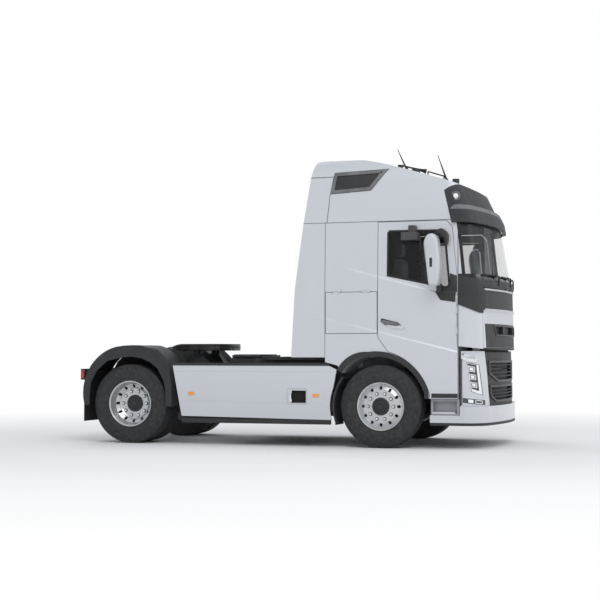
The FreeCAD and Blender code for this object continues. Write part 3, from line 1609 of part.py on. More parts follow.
guard_outer = guard_radius + guard_thick
front_guard = prism("FrontGuard", "XZ", [
    round_point(front_axle, guard_radius, -0.8, 0.6),
    via(*round_point(front_axle, guard_radius, -0.9848, 0.1736)),
    round_point(front_axle, guard_radius, -0.94, -0.3412),
    round_point(front_axle, guard_outer, -0.94, -0.3412),
    via(*round_point(front_axle, guard_outer, -0.9848, 0.1736)),
    round_point(front_axle, guard_outer, -0.8, 0.6),
], size("tyre_outer_face") - size("guard_width"), half_width)
FENDER_SHARES = (
    (-1.0, 0.0),
    ("via", -0.78, 0.72),
    (-0.27, 0.975),
    ("via", 0.0, 1.0),
    (0.28, 1.0),
    ("via", 0.78, 0.75),
    (1.0, 0.25),
    (1.0, -0.04),
)
fender_half = size("fender_length") / 2
fender_rise = size("fender_rise")
fender_x = rear_axle - size("fender_shift")
fender_thick = size("fender_thick")


def fender_outline(inset):
    points = []
    for entry in FENDER_SHARES:
        point = (fender_x + (fender_half - inset) * entry[-2],
                 tyre_radius + (fender_rise - inset) * entry[-1])
        points.append(via(*point) if entry[0] == "via" else point)
    return points


fender_wide = size("fender_half_width")
fender_in = size("fender_inner")
fender_form = prism("FenderForm", "XZ", fender_outline(ZERO), fender_in, fender_wide)
fender_void = prism("FenderVoid", "XZ", fender_outline(fender_thick), fender_in - overrun,
                    fender_wide + overrun)
fender_low = block("FenderLow", (fender_x - fender_half + fender_thick, fender_in - overrun,
                                 tyre_radius - fender_rise),
                   (fender_x + fender_half - fender_thick, fender_wide + overrun, tyre_radius))
fender_sheet = cut("FenderSheet", cut("FenderOpen", fender_form, fender_void), fender_low)
lip_form = prism("LipForm", "XZ", fender_outline(ZERO), fender_wide - trim_thick, fender_wide)
lip_void = prism("LipVoid", "XZ", fender_outline(size("fender_lip")),
                 fender_wide - overrun, fender_wide + overrun)
lip_low = block("LipLow", (fender_x - fender_half + size("fender_lip"), fender_wide - overrun,
                           tyre_radius - fender_rise),
                (fender_x + fender_half - size("fender_lip"), fender_wide + overrun, tyre_radius))
fender_lip = cut("FenderLip", cut("LipOpen", lip_form, lip_void), lip_low)
fender_tubes = []
for number, along in enumerate((-0.86, 0.86)):
    fender_tubes.append(rod("FenderTube%d" % number, "Y",
                            (fender_x + fender_half * along, rail_outer + fit,
                             rail_top - guard_tube_radius * 2),
                            fender_wide - rail_outer - overrun, guard_tube_radius))
rear_guard = joined("RearGuard", [fender_sheet, fender_lip] + fender_tubes)
guard_middle = guard_radius + guard_thick / 2
guard_tube_at = round_point(front_axle, guard_middle, -0.926, 0.377)
guard_tube = rod("GuardTube", "Y", (guard_tube_at[0], rail_outer + fit, guard_tube_at[1]),
                 half_width - rail_outer - overrun, guard_tube_radius)
front_guard_set = joined("FrontGuardSet", [front_guard, guard_tube])
keep("front_mudguards", both_sides("FrontMudguards", front_guard_set))
keep("rear_mudguards", both_sides("RearMudguards", rear_guard))
flap_low = size("flap_bottom")
front_flap_x = front_axle - guard_outer * 0.94
rear_flap_x = fender_x - fender_half
front_flap = block("FrontFlap",
                   (front_flap_x, size("tyre_outer_face") - size("guard_width"), flap_low),
                   (front_flap_x + flap_thick, half_width, tyre_radius - guard_outer * 0.3412 - fit))
rear_flap = block("RearFlap", (rear_flap_x, fender_in, flap_low),
                  (rear_flap_x + flap_thick, fender_wide, tyre_radius - fit))
keep("mud_flaps", both_sides("MudFlaps", gathered("FlapSet", [front_flap, rear_flap])))

# Rear lamps and side markers
lamp_high = size("lamp_top")
rear_lamp = block("RearLamp", (lamp_back, fender_wide - size("lamp_width"),
                               lamp_high - size("lamp_height")),
                  (lamp_back + size("lamp_depth"), fender_wide - overrun, lamp_high))
lamp_arm = block("LampArm", (lamp_back + size("lamp_depth"), rail_outer + fit,
                             lamp_high - size("lamp_height")),
                 (lamp_back + size("lamp_depth") + flap_thick, fender_wide - overrun * 2,
                  lamp_high - overrun))
keep("rear_lamps", both_sides("RearLamps", joined("RearLampSet", [rear_lamp, lamp_arm])))
MARKER_SHARES = ((0.1, 0.44), (0.86, 0.42))
markers = []
marker = size("marker_length")
for number, (along, up) in enumerate(MARKER_SHARES):
    markers.append(block("Marker%d" % number, (skirt_x(along), skirt_face + fit, skirt_z(up)),
                         (skirt_x(along) + marker, skirt_face + trim_thick,
                          skirt_z(up) + marker / 2)))
keep("side_markers", both_sides("SideMarkers", gathered("MarkerSet", markers)))

# Deck behind the cab
deck_high = size("deck_height")
deck_front = cab_x(0.0625)
deck_half = size("deck_width") / 2
deck = block("DeckPlate", (deck_front - size("deck_length"), -deck_half,
                           deck_high - size("deck_thick")),
             (deck_front, deck_half, deck_high))
deck_posts = []
for number, share in enumerate((0.1, 0.85)):
    post = deck_front - size("deck_length") * share
    deck_posts.append(block("DeckPost%d" % number,
                            (post - flange, rail_outer - flange, rail_top + fit),
                            (post, rail_outer, deck_high - size("deck_thick"))))
deck_left = gathered("DeckPosts", deck_posts)
keep("rear_deck", joined("RearDeck", [deck, deck_left, mirrored("DeckPostsRight", deck_left)]))

# Fifth wheel: base, pedestals and the tilting plate with its throat
pivot_x = rear_axle + size("pivot_ahead")
pedestal_half = size("pedestal_length") / 2
pedestal_y = size("pedestal_offset")
pedestal_thick = size("pedestal_thick")
base_top = rail_top + fit + size("base_thick")
pivot_z = base_top + size("pedestal_height")
pivot_radius = size("pivot_radius")
base_plate = block("BasePlate", (pivot_x - pedestal_half * 2, -pedestal_y - pedestal_thick,
                                 rail_top + fit),
                   (pivot_x + pedestal_half * 2, pedestal_y + pedestal_thick, base_top))
PEDESTAL_SHARES = (
    (-1.0, 0.0),
    (-0.35, 1.0),
    (0.35, 1.0),
    (1.0, 0.0),
)


def pedestal_x(share):
    return pivot_x + pedestal_half * share


def pedestal_z(share):
    return base_top + (size("pedestal_height") - pivot_radius) * share


pedestal = prism("Pedestal", "XZ", placed(PEDESTAL_SHARES, pedestal_x, pedestal_z),
                 pedestal_y - pedestal_thick, pedestal_y)
pivot_pin = rod("PivotPin", "Y", (pivot_x, pedestal_y - pedestal_thick, pivot_z),
                pedestal_thick * 2, pivot_radius)
pin_foot = block("PinFoot", (pivot_x - pivot_radius, pedestal_y - pedestal_thick, base_top),
                 (pivot_x + pivot_radius, pedestal_y, pivot_z))
pedestal_set = joined("PedestalSet", [pedestal, pivot_pin, pin_foot])
keep("fifth_wheel_base", joined("FifthWheelBase",
                                [base_plate, pedestal_set, mirrored("PedestalRight", pedestal_set)]))
plate_half = size("plate_width") / 2
plate_long = size("plate_length")
plate_rear = pivot_x - plate_long * 0.52
plate_top = size("plate_height")
plate_low = plate_top - size("plate_thick")
throat = size("throat_half_width")
bore = size("kingpin_bore")


def plate_x(share):
    return plate_rear + plate_long * share


PLATE_SHARES = (
    (0.0, 0.5),
    (0.12, 0.86),
    ("via", 0.5, 1.0),
    (0.86, 0.84),
    (1.0, 0.4),
)
plate_form = placed(PLATE_SHARES, plate_x, lambda share: plate_half * share)
plate_outline = plate_form + [
    entry[:-1] + (-entry[-1],) for entry in reversed(plate_form)
]
plate_body = prism("PlateBody", "XY", plate_outline, plate_low, plate_top)
THROAT_PLACES = (
    (plate_x(-0.05), throat),
    (plate_x(0.34), bore),
    (plate_x(0.34), -bore),
    (plate_x(-0.05), -throat),
)
throat_tool = prism("Throat", "XY", list(THROAT_PLACES), plate_low - plate_half, plate_top + overrun)
slot = block("ThroatSlot", (plate_x(0.3), -bore, plate_low - plate_half),
             (plate_x(0.5), bore, plate_top + overrun))
jaw = rod("JawBore", "Z", (plate_x(0.5), ZERO, plate_low - plate_half),
          plate_half * 2, bore)
skirt_web = size("skirt_web")
cheek_in = pedestal_y + fit * 4
cheek = block("Cheek", (pivot_x - pivot_radius * 2, cheek_in, pivot_z - pivot_radius * 2),
              (pivot_x + pivot_radius * 2, cheek_in + skirt_web, plate_low))
cheek_bore = rod("CheekBore", "Y", (pivot_x, cheek_in - overrun, pivot_z), overrun * 3,
                 pivot_radius + pin_gap)
cheek_left = cut("CheekLeft", cheek, cheek_bore)
plate_solid = joined("PlateSolid", [plate_body, cheek_left, mirrored("CheekRight", cheek_left)])
plate_flat = cut("PlateFlat", plate_solid, gathered("ThroatTools", [throat_tool, slot, jaw]))
keep("fifth_wheel_plate", plate_flat)

# Steering knuckles
yoke = size("yoke_height")
stub_start = kingpin_y + fist_radius + gap
disc_back = size("tyre_outer_face") - size("front_disc_depth") - size("disc_thick")
pin_solid = rod("Kingpin", "Z", (front_axle, kingpin_y, tyre_radius - fist_half - yoke - pin_gap),
                size("fist_height") + yoke * 2 + pin_gap * 2, kingpin_radius)
yokes = []
for number, low in enumerate((tyre_radius + fist_half + pin_gap,
                              tyre_radius - fist_half - pin_gap - yoke)):
    yokes.append(block("Yoke%d" % number, (front_axle - fist_radius, kingpin_y - fist_radius, low),
                       (front_axle + fist_radius, stub_start + skin, low + yoke)))
knuckle_web = block("KnuckleWeb", (front_axle - fist_radius, stub_start,
                                   tyre_radius - fist_half - pin_gap - yoke),
                    (front_axle + fist_radius, stub_start + skin,
                     tyre_radius + fist_half + pin_gap + yoke))
brake = rod("FrontBrake", "Y", (front_axle, stub_start + skin, tyre_radius), size("brake_thick"),
            size("brake_radius"))
spindle = rod("Spindle", "Y", (front_axle, stub_start, tyre_radius),
              disc_back + size("disc_thick") - stub_start, size("hub_bore") - pin_gap)
steer_arm = block("SteerArm", (front_axle - size("steer_arm_length"), kingpin_y - fist_radius,
                               tyre_radius - fist_half - pin_gap - yoke),
                  (front_axle, kingpin_y, tyre_radius - fist_half - pin_gap))
knuckle = joined("Knuckle", [pin_solid] + yokes + [knuckle_web, brake, spindle, steer_arm])
keep_pair("knuckle", knuckle)

# Wheels: tyres and rims are turned about the axle lines
tyre_face = size("tyre_outer_face")
tyre_width = size("tyre_width")
bead = size("bead_radius")
TYRE_SHARES = (
    (0.0, 0.1),
    (0.0, 0.9),
    (0.42, 1.0),
    (1.0, 0.9),
    (1.0, 0.1),
    (0.42, 0.0),
)


def tyre(name, outer_face):
    return revolved(name, placed(TYRE_SHARES, lambda share: bead + (tyre_radius - bead) * share,
                                 lambda share: outer_face - tyre_width * (1 - share)))


rim_wall = size("rim_wall")
lip = size("flange_height")
rim_inner = bead - rim_wall
disc_thick = size("disc_thick")
hub_radius = size("hub_radius")
hub_bore = size("hub_bore")
rim_out = tyre_face - disc_thick
front_disc = tyre_face - size("front_disc_depth")
front_rim_outline = [
    (bead - fit, tyre_face - tyre_width * 0.9),
    (bead - fit, rim_out - disc_thick),
    (bead + lip, rim_out),
    (bead - lip, rim_out),
    (rim_inner, front_disc - disc_thick),
    (hub_radius, front_disc + disc_thick),
    (hub_radius, front_disc + disc_thick * 2),
    (hub_bore, front_disc + disc_thick * 2),
    (hub_bore, front_disc - disc_thick),
    (hub_radius, front_disc - disc_thick),
    (rim_inner, front_disc - disc_thick * 2),
    (rim_inner, tyre_face - tyre_width * 0.9),
]
rear_disc = tyre_face - size("dish_depth")
twin_inner = tyre_face - size("twin_spacing") - tyre_width * 0.9
rear_rim_outline = [
    (bead - fit, twin_inner),
    (bead - fit, rim_out - disc_thick),
    (bead + lip, rim_out),
    (bead - lip, rim_out),
    (rim_inner, rim_out - disc_thick * 2),
    (rim_inner, rear_disc),
    (hub_radius, rear_disc),
    (hub_radius, rear_disc + size("rear_hub_length")),
    (hub_bore, rear_disc + size("rear_hub_length")),
    (hub_bore, rear_disc - disc_thick * 2),
    (rim_inner, rear_disc - disc_thick * 2),
    (rim_inner, twin_inner),
]
HAND_HOLE_SIDES = 8


def rim(name, outline):
    body = revolved(name, outline)
    return ring_of_pockets(body, size("hand_hole_circle"), size("hand_hole_radius"),
                           HAND_HOLE_SIDES, WHEEL_HOLES)


front_tyre = tyre("FrontTyre", tyre_face)
front_rim = rim("FrontRim", front_rim_outline)
rear_rim = rim("RearRim", rear_rim_outline)
twin_tyres = [tyre("OuterTyre", tyre_face), tyre("InnerTyre", tyre_face - size("twin_spacing"))]
for body in (front_tyre, front_rim):
    settle(body, (front_axle, ZERO, tyre_radius))
for body in twin_tyres + [rear_rim]:
    settle(body, (rear_axle, ZERO, tyre_radius))
keep_pair("front_tyre", front_tyre)
keep_pair("front_rim", front_rim)
keep_pair("rear_tyres", gathered("RearTyres", twin_tyres))
keep_pair("rear_rims", rear_rim)


def finish():
    """Checks every object and sub-part, then writes each sub-part's file."""
    document.recompute()
    for item in document.Objects:
        if "Invalid" in item.State or "Error" in item.State:
            raise RuntimeError("%s failed" % item.Name)
    for label, item in SUB_PARTS.items():
        if item.Shape.isNull() or not item.Shape.isValid():
            raise RuntimeError("%s has no valid shape" % label)
    os.makedirs("parts", exist_ok=True)
    for label, item in SUB_PARTS.items():
        item.Shape.exportStep("parts/%s.step" % label)


finish()
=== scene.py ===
import math

import bmesh
import bpy
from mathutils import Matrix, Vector


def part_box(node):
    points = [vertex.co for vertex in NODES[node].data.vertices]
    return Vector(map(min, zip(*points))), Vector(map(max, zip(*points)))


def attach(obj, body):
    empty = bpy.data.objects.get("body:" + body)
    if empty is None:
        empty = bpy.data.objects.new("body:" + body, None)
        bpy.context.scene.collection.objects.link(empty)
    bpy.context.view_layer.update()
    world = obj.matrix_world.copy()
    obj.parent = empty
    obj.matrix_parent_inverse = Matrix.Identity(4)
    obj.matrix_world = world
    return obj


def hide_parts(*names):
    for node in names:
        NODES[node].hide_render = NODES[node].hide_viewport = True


bl_info = {
    "name": "Tractor unit dressing",
    "version": (1, 0, 0),
    "blender": (4, 5, 0),
    "location": "View3D > Sidebar > Tractor unit",
    "description": "Finishes and small parts of a two-axle tractor unit on its frame",
    "category": "Object",
}

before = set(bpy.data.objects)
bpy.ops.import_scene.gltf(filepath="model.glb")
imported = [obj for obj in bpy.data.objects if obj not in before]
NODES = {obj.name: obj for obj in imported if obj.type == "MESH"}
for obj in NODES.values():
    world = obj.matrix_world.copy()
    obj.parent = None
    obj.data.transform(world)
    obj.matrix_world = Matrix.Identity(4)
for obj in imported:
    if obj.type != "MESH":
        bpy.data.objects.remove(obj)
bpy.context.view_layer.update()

# Bodies that a left piece and its mirror image ride on
DOORS = ("door_left_body", "door_right_body")
CHASSIS = ("chassis", "chassis")
CAB = ("cab", "cab")

# Points of a mesh that are closer than this are one point
MERGE = 0.00005
# Where flat pieces start that are then pressed onto a side or onto the front
BESIDE = 1.30
AHEAD = 2.95
# Radius of the bow of the front, seen from above, and its reach below and above the bumper's gap
BOW = 4.363
LOW_REACH = 2.815
HIGH_REACH = 2.850
HIGH_LEAN = 0.022
# Heights and places of the cab's seams
ROOF_SEAM = 2.905
REAR_SEAM = 0.660
DOOR_SEAM = 2.4095
# Pressed ledges along the sides: a point on the line, its slope and where it starts
CAB_LEDGES = ((1.359, 2.199, -0.2726, 0.80), (1.357, 1.493, -0.2487, 0.40))
SKIRT_LEDGES = ((0.0, 0.972, 0.0, -1.46), (-1.378, 0.584, -0.0124, -1.36))
# Lights: name, place, size and power
LIGHTS = (
    ("key", (7, -14, 13), 9.0, 1000.0),
    ("fill", (16, 2, 8), 8.0, 430.0),
    ("back", (-10, 12, 12), 9.0, 520.0),
)
LIGHT_AIM = Vector((0, 0, 1.6))
CAMERA_PLACE = Vector((6.005, -18.830, 1.218))
CAMERA_AIM = Vector((-0.080, 0.0, 1.955))


def colour_setting(name, description, default):
    return bpy.props.FloatVectorProperty(name=name, description=description, subtype="COLOR",
                                         size=3, min=0, max=1, default=default)


def length_setting(name, description, default):
    return bpy.props.FloatProperty(name=name, description=description, unit="LENGTH",
                                   default=default)


# Sizes and colours that a user would change
class TruckSettings(bpy.types.PropertyGroup):
    paint: colour_setting("Paint", "Colour of the cab's paint", (0.62, 0.64, 0.67))
    plastic: colour_setting("Plastic", "Colour of the dark moulded trim", (0.021, 0.022, 0.024))
    glass: colour_setting("Glass", "Tint of the windows", (0.62, 0.70, 0.68))
    cloth: colour_setting("Seat cloth", "Colour of the seats", (0.10, 0.10, 0.11))
    floor: colour_setting("Floor", "Colour of the floor", (0.86, 0.86, 0.86))
    tyre_radius: length_setting("Tyre radius", "Outer radius of every tyre", 0.532)
    bead_radius: length_setting("Bead radius", "Radius where tyre and rim meet", 0.292)
    tyre_width: length_setting("Tyre width", "Width over the side walls", 0.315)
    nut_circle: length_setting("Nut circle", "Radius of the ring of wheel nuts", 0.1675)
    tread_steps: bpy.props.IntProperty(
        name="Tread steps", description="Tread blocks round one tyre", default=72, min=24, max=120)
    camera_lens: bpy.props.FloatProperty(
        name="Lens", description="Focal length of the camera in millimetres", default=85.18)


def settings():
    return bpy.context.scene.truck


# Finishes
def new_finish(name):
    """An empty material with its shader and the places of the surface's points."""
    material = bpy.data.materials.new(name)
    material.use_nodes = True
    shader = material.node_tree.nodes["Principled BSDF"]
    places = material.node_tree.nodes.new("ShaderNodeTexCoord")
    return material, shader, places.outputs["Object"]


def fixed(shader, **values):
    """Sets constants on the shader; an underscore in a name stands for a space."""
    for name, value in values.items():
        shader.inputs[name.replace("_", " ")].default_value = value


def noise(material, places, scale, detail=4.0, stretch=None):
    nodes = material.node_tree.nodes
    if stretch is not None:
        mapping = nodes.new("ShaderNodeMapping")
        mapping.inputs["Scale"].default_value = stretch
        material.node_tree.links.new(places, mapping.inputs["Vector"])
        places = mapping.outputs["Vector"]
    texture = nodes.new("ShaderNodeTexNoise")
    texture.inputs["Scale"].default_value = scale
    texture.inputs["Detail"].default_value = detail
    material.node_tree.links.new(places, texture.inputs["Vector"])
    return texture.outputs["Fac"]


def cells(material, places, scale):
    texture = material.node_tree.nodes.new("ShaderNodeTexVoronoi")
    texture.inputs["Scale"].default_value = scale
    material.node_tree.links.new(places, texture.inputs["Vector"])
    return texture.outputs["Distance"]


def tinted(colour, factor):
    return tuple(min(1.0, part * factor) for part in colour)


def shaded(material, value, stops):
    """Turns a value into a colour through a ramp of place and colour."""
    ramp = material.node_tree.nodes.new("ShaderNodeValToRGB")
    points = ramp.color_ramp.elements
    for point, (place, colour) in zip(points, (stops[0], stops[-1])):
        point.position = place
        point.color = (*colour, 1)
    for place, colour in stops[1:-1]:
        points.new(place).color = (*colour, 1)
    material.node_tree.links.new(value, ramp.inputs["Fac"])
    return ramp.outputs["Color"]


def toned(material, shader, value, colour, *stops):
    """Lets a value carry the surface's colour; a stop is a place and a factor of the colour."""
    tone = shaded(material, value, [(place, tinted(colour, factor)) for place, factor in stops])
    material.node_tree.links.new(tone, shader.inputs["Base Color"])


def between(material, value, low, high):
    node = material.node_tree.nodes.new("ShaderNodeMapRange")
    node.inputs["To Min"].default_value = low
    node.inputs["To Max"].default_value = high
    material.node_tree.links.new(value, node.inputs["Value"])
    return node.outputs["Result"]


def uneven(material, shader, places, scale, low, high):
    """Lets the roughness change slowly over the surface."""
    rough = between(material, noise(material, places, scale), low, high)
    material.node_tree.links.new(rough, shader.inputs["Roughness"])


def raised(material, shader, value, strength, distance):
    bump = material.node_tree.nodes.new("ShaderNodeBump")
    bump.inputs["Strength"].default_value = strength
    bump.inputs["Distance"].default_value = distance
    material.node_tree.links.new(value, bump.inputs["Height"])
    material.node_tree.links.new(bump.outputs["Normal"], shader.inputs["Normal"])


def calc(material, operation, one, other=0.0, third=0.0):
    """One step of arithmetic on values of the surface's points."""
    node = material.node_tree.nodes.new("ShaderNodeMath")
    node.operation = operation
    for socket, value in zip(node.inputs, (one, other, third)):
        if isinstance(value, (int, float)):
            socket.default_value = value
        else:
            material.node_tree.links.new(value, socket)
    return node.outputs["Value"]


def clamped(material, value):
    node = material.node_tree.nodes.new("ShaderNodeClamp")
    material.node_tree.links.new(value, node.inputs["Value"])
    return node.outputs["Result"]


def axes_of(material, places):
    split = material.node_tree.nodes.new("ShaderNodeSeparateXYZ")
    material.node_tree.links.new(places, split.inputs["Vector"])
    return split.outputs["X"], split.outputs["Y"], split.outputs["Z"]


def all_of(material, *masks):
    """Where all the masks hold."""
    total = masks[0]
    for mask in masks[1:]:
        total = calc(material, "MULTIPLY", total, mask)
    return total


def any_of(material, *masks):
    """Where one of the masks holds."""
    total = masks[0]
    for mask in masks[1:]:
        total = calc(material, "MAXIMUM", total, mask)
    return total


def near(material, value, place, half):
    """One where a value lies closer to a place than half a width."""
    away = calc(material, "ABSOLUTE", calc(material, "SUBTRACT", value, place))
    return calc(material, "LESS_THAN", away, half)


def within(material, *limits):
    """One where each value lies between its limits, of which one may be None."""
    masks = []
    for value, low, high in limits:
        if low is not None:
            masks.append(calc(material, "GREATER_THAN", value, low))
        if high is not None:
            masks.append(calc(material, "LESS_THAN", value, high))
    return all_of(material, *masks)


def blended(material, factor, one, other):
    mix = material.node_tree.nodes.new("ShaderNodeMix")
    mix.data_type = "RGBA"
    for label, value in (("Factor", factor), ("A", one), ("B", other)):
        if isinstance(value, tuple):
            mix.inputs[label].default_value = (*value, 1)
        else:
            material.node_tree.links.new(value, mix.inputs[label])
    return mix.outputs["Result"]


def surface(name, colour, rough, metal=0.0, grain=300.0, depth=0.15, spread=0.08,
            rough_spread=0.08, coat=0.0, patch=3.0):
    """A finish with slow changes of colour and gloss and a fine grain."""
    material, shader, places = new_finish(name)
    toned(material, shader, noise(material, places, patch), colour, (0.3, 1 - spread),
          (0.7, 1 + spread))
    uneven(material, shader, places, patch * 4, rough - rough_spread, rough + rough_spread)
    raised(material, shader, noise(material, places, grain, 3.0), depth, 0.001)
    fixed(shader, Metallic=metal, Coat_Weight=coat, Coat_Roughness=0.06)
    return material


def ledge(material, axes, line):
    """One where the side stands proud below a pressed line, fading to nothing above it."""
    x, y, z = axes
    along, up, slope, start = line
    level = calc(material, "MULTIPLY_ADD", calc(material, "SUBTRACT", x, along), slope, up)
    depth = calc(material, "MULTIPLY_ADD", calc(material, "SUBTRACT", level, z), 40.0, 0.5)
    fade = calc(material, "MULTIPLY", calc(material, "SUBTRACT", x, start), 4.0)
    side = calc(material, "GREATER_THAN", calc(material, "ABSOLUTE", y), 1.10)
    return all_of(material, clamped(material, depth), clamped(material, fade), side)


def seams_of(material, x, width, z):
    """One on the seams round the roof and at the cab's rear corners."""
    rise = calc(material, "MAXIMUM", calc(material, "SUBTRACT", z, ROOF_SEAM), 0.0)
    leaning = calc(material, "MULTIPLY_ADD", rise, 0.10, 0.680)
    return any_of(
        material, near(material, z, ROOF_SEAM, 0.004),
        all_of(material, within(material, (width, 1.0, None), (z, 2.91, 3.275)),
               near(material, x, leaning, 0.005)),
        all_of(material, within(material, (width, 1.0, None), (x, None, 0.757)),
               near(material, z, 3.505, 0.005)),
        all_of(material, within(material, (width, 1.0, None), (z, None, ROOF_SEAM)),
               near(material, x, REAR_SEAM, 0.004)))


def paint_finish(name="silver_paint", ledges=(), seamed=False):
    """Silver paint: fine flakes under a clear coat, darker low down as painted shade."""
    material, shader, places = new_finish(name)
    links = material.node_tree.links
    colour = settings().paint
    base = shaded(material, cells(material, places, 900.0),
                  ((0.1, tinted(colour, 0.94)), (0.8, tinted(colour, 1.05))))
    x, y, z = axes_of(material, places)
    # Painted shade: the paint darkens towards the bottom of the vehicle
    low = material.node_tree.nodes.new("ShaderNodeMapRange")
    for label, value in (("From Min", 0.25), ("From Max", 0.95), ("To Min", 0.16),
                         ("To Max", 0.0)):
        low.inputs[label].default_value = value
    links.new(z, low.inputs["Value"])
    tone = blended(material, low.outputs["Result"], base, tinted(colour, 0.62))
    rough = between(material, noise(material, places, 6.0), 0.27, 0.37)
    height = calc(material, "MULTIPLY", noise(material, places, 55.0, 2.0),
                  0.02 if ledges else 1.0)
    for line in ledges:
        height = calc(material, "ADD", height, ledge(material, (x, y, z), line))
    if seamed:
        width = calc(material, "ABSOLUTE", y)
        seams = seams_of(material, x, width, z)
        tone = blended(material, calc(material, "MULTIPLY", seams, 0.75), tone,
                       (0.05, 0.05, 0.052))
        above = calc(material, "MAXIMUM", calc(material, "SUBTRACT", z, 1.95), 0.0)
        lining = calc(material, "MULTIPLY_ADD", above, -0.0346, 1.222)
        inside = all_of(material, calc(material, "LESS_THAN", width, lining),
                        within(material, (x, 0.68, 2.30), (z, 1.41, 3.25)))
        tone = blended(material, inside, tone, (0.105, 0.102, 0.098))
        # Near black: under the windscreen the colour of its seal; in the door's front gap, painted
        # shade where the shell shows through
        screen_foot = within(material, (x, 2.41, None), (z, 1.90, 2.215))
        door_gap_shade = all_of(material, within(material, (width, 1.10, None), (z, None, ROOF_SEAM)),
                          near(material, x, DOOR_SEAM, 0.0045))
        tone = blended(material, any_of(material, screen_foot, door_gap_shade), tone,
                       (0.02, 0.02, 0.021))
        rough = any_of(material, rough, calc(material, "MULTIPLY", inside, 0.7))
        height = calc(material, "MULTIPLY_ADD", seams, -0.4, height)
    links.new(tone, shader.inputs["Base Color"])
    links.new(rough, shader.inputs["Roughness"])
    raised(material, shader, height, 1.0 if ledges else 0.04, 0.010 if ledges else 0.001)
    fixed(shader, Metallic=0.35, Coat_Weight=0.3, Coat_Roughness=0.08)
    return material


def plastic_finish(name, colour, rough=0.55):
    """Moulded plastic: a close pebble grain and slow dulling."""
    material, shader, places = new_finish(name)
    toned(material, shader, noise(material, places, 5.0), colour, (0.3, 0.8), (0.75, 1.3))
    uneven(material, shader, places, 14.0, rough - 0.09, rough + 0.09)
    raised(material, shader, cells(material, places, 420.0), 0.25, 0.0006)
    return material


def glass_finish(name, colour, alpha, border=False):
    """Tinted glass; the windscreen also has a black printed border along its edges."""
    material, shader, places = new_finish(name)
    material.surface_render_method = "BLENDED"
    links = material.node_tree.links
    tone = shaded(material, noise(material, places, 2.0),
                  ((0.3, tinted(colour, 0.92)), (0.7, tinted(colour, 1.0))))
    if border:
        x, y, z = axes_of(material, places)
        edge = calc(material, "MULTIPLY_ADD", calc(material, "SUBTRACT", z, 2.19), -0.105, 2.500)
        mask = any_of(material, calc(material, "LESS_THAN", x, edge),
                      calc(material, "LESS_THAN", z, 2.215),
                      calc(material, "GREATER_THAN", z, 2.835))
        tone = blended(material, mask, tone, (0.008, 0.008, 0.009))
        links.new(calc(material, "MAXIMUM", mask, alpha), shader.inputs["Alpha"])
    else:
        fixed(shader, Alpha=alpha)
    links.new(tone, shader.inputs["Base Color"])
    uneven(material, shader, places, 9.0, 0.02, 0.05)
    fixed(shader, IOR=1.5, Specular_IOR_Level=0.6)
    return material


def rubber_finish():
    """Tyre rubber: dull, with brown road dust in the grain."""
    material, shader, places = new_finish("tyre_rubber")
    tone = shaded(material, noise(material, places, 22.0, 8.0),
                  ((0.35, (0.018, 0.018, 0.019)), (0.6, (0.032, 0.032, 0.033)),
                   (0.85, (0.060, 0.056, 0.052))))
    material.node_tree.links.new(tone, shader.inputs["Base Color"])
    uneven(material, shader, places, 40.0, 0.62, 0.86)
    raised(material, shader, noise(material, places, 240.0, 6.0), 0.4, 0.0015)
    return material


def weave_finish(name, colour):
    """Woven cloth: two crossed bands of thread."""
    material, shader, places = new_finish(name)
    waves = []
    for direction in ("X", "Z"):
        wave = material.node_tree.nodes.new("ShaderNodeTexWave")
        wave.bands_direction = direction
        wave.inputs["Scale"].default_value = 140.0
        wave.inputs["Distortion"].default_value = 1.5
        material.node_tree.links.new(places, wave.inputs["Vector"])
        waves.append(wave.outputs["Fac"])
    threads = all_of(material, *waves)
    toned(material, shader, threads, colour, (0.1, 0.7), (0.7, 1.35))
    raised(material, shader, threads, 0.5, 0.001)
    fixed(shader, Roughness=0.92, Sheen_Weight=0.25)
    return material


def plate_finish():
    """Deck plate: rows of raised drops on dull metal."""
    material, shader, places = new_finish("deck_plate")
    tone = shaded(material, noise(material, places, 9.0),
                  ((0.3, (0.035, 0.035, 0.037)), (0.7, (0.07, 0.07, 0.072))))
    material.node_tree.links.new(tone, shader.inputs["Base Color"])
    raised(material, shader, cells(material, places, 26.0), 0.6, 0.004)
    fixed(shader, Metallic=0.6, Roughness=0.5)
    return material


def brushed_finish(name, colour, rough, metal=1.0):
    """Bright metal with fine lines left by turning or polishing."""
    material, shader, places = new_finish(name)
    lines = noise(material, places, 40.0, 6.0, (1.0, 14.0, 1.0))
    toned(material, shader, lines, colour, (0.3, 0.85), (0.7, 1.1))
    uneven(material, shader, places, 18.0, rough - 0.06, rough + 0.10)
    raised(material, shader, lines, 0.08, 0.0006)
    fixed(shader, Metallic=metal)
    return material


FINISH = {}


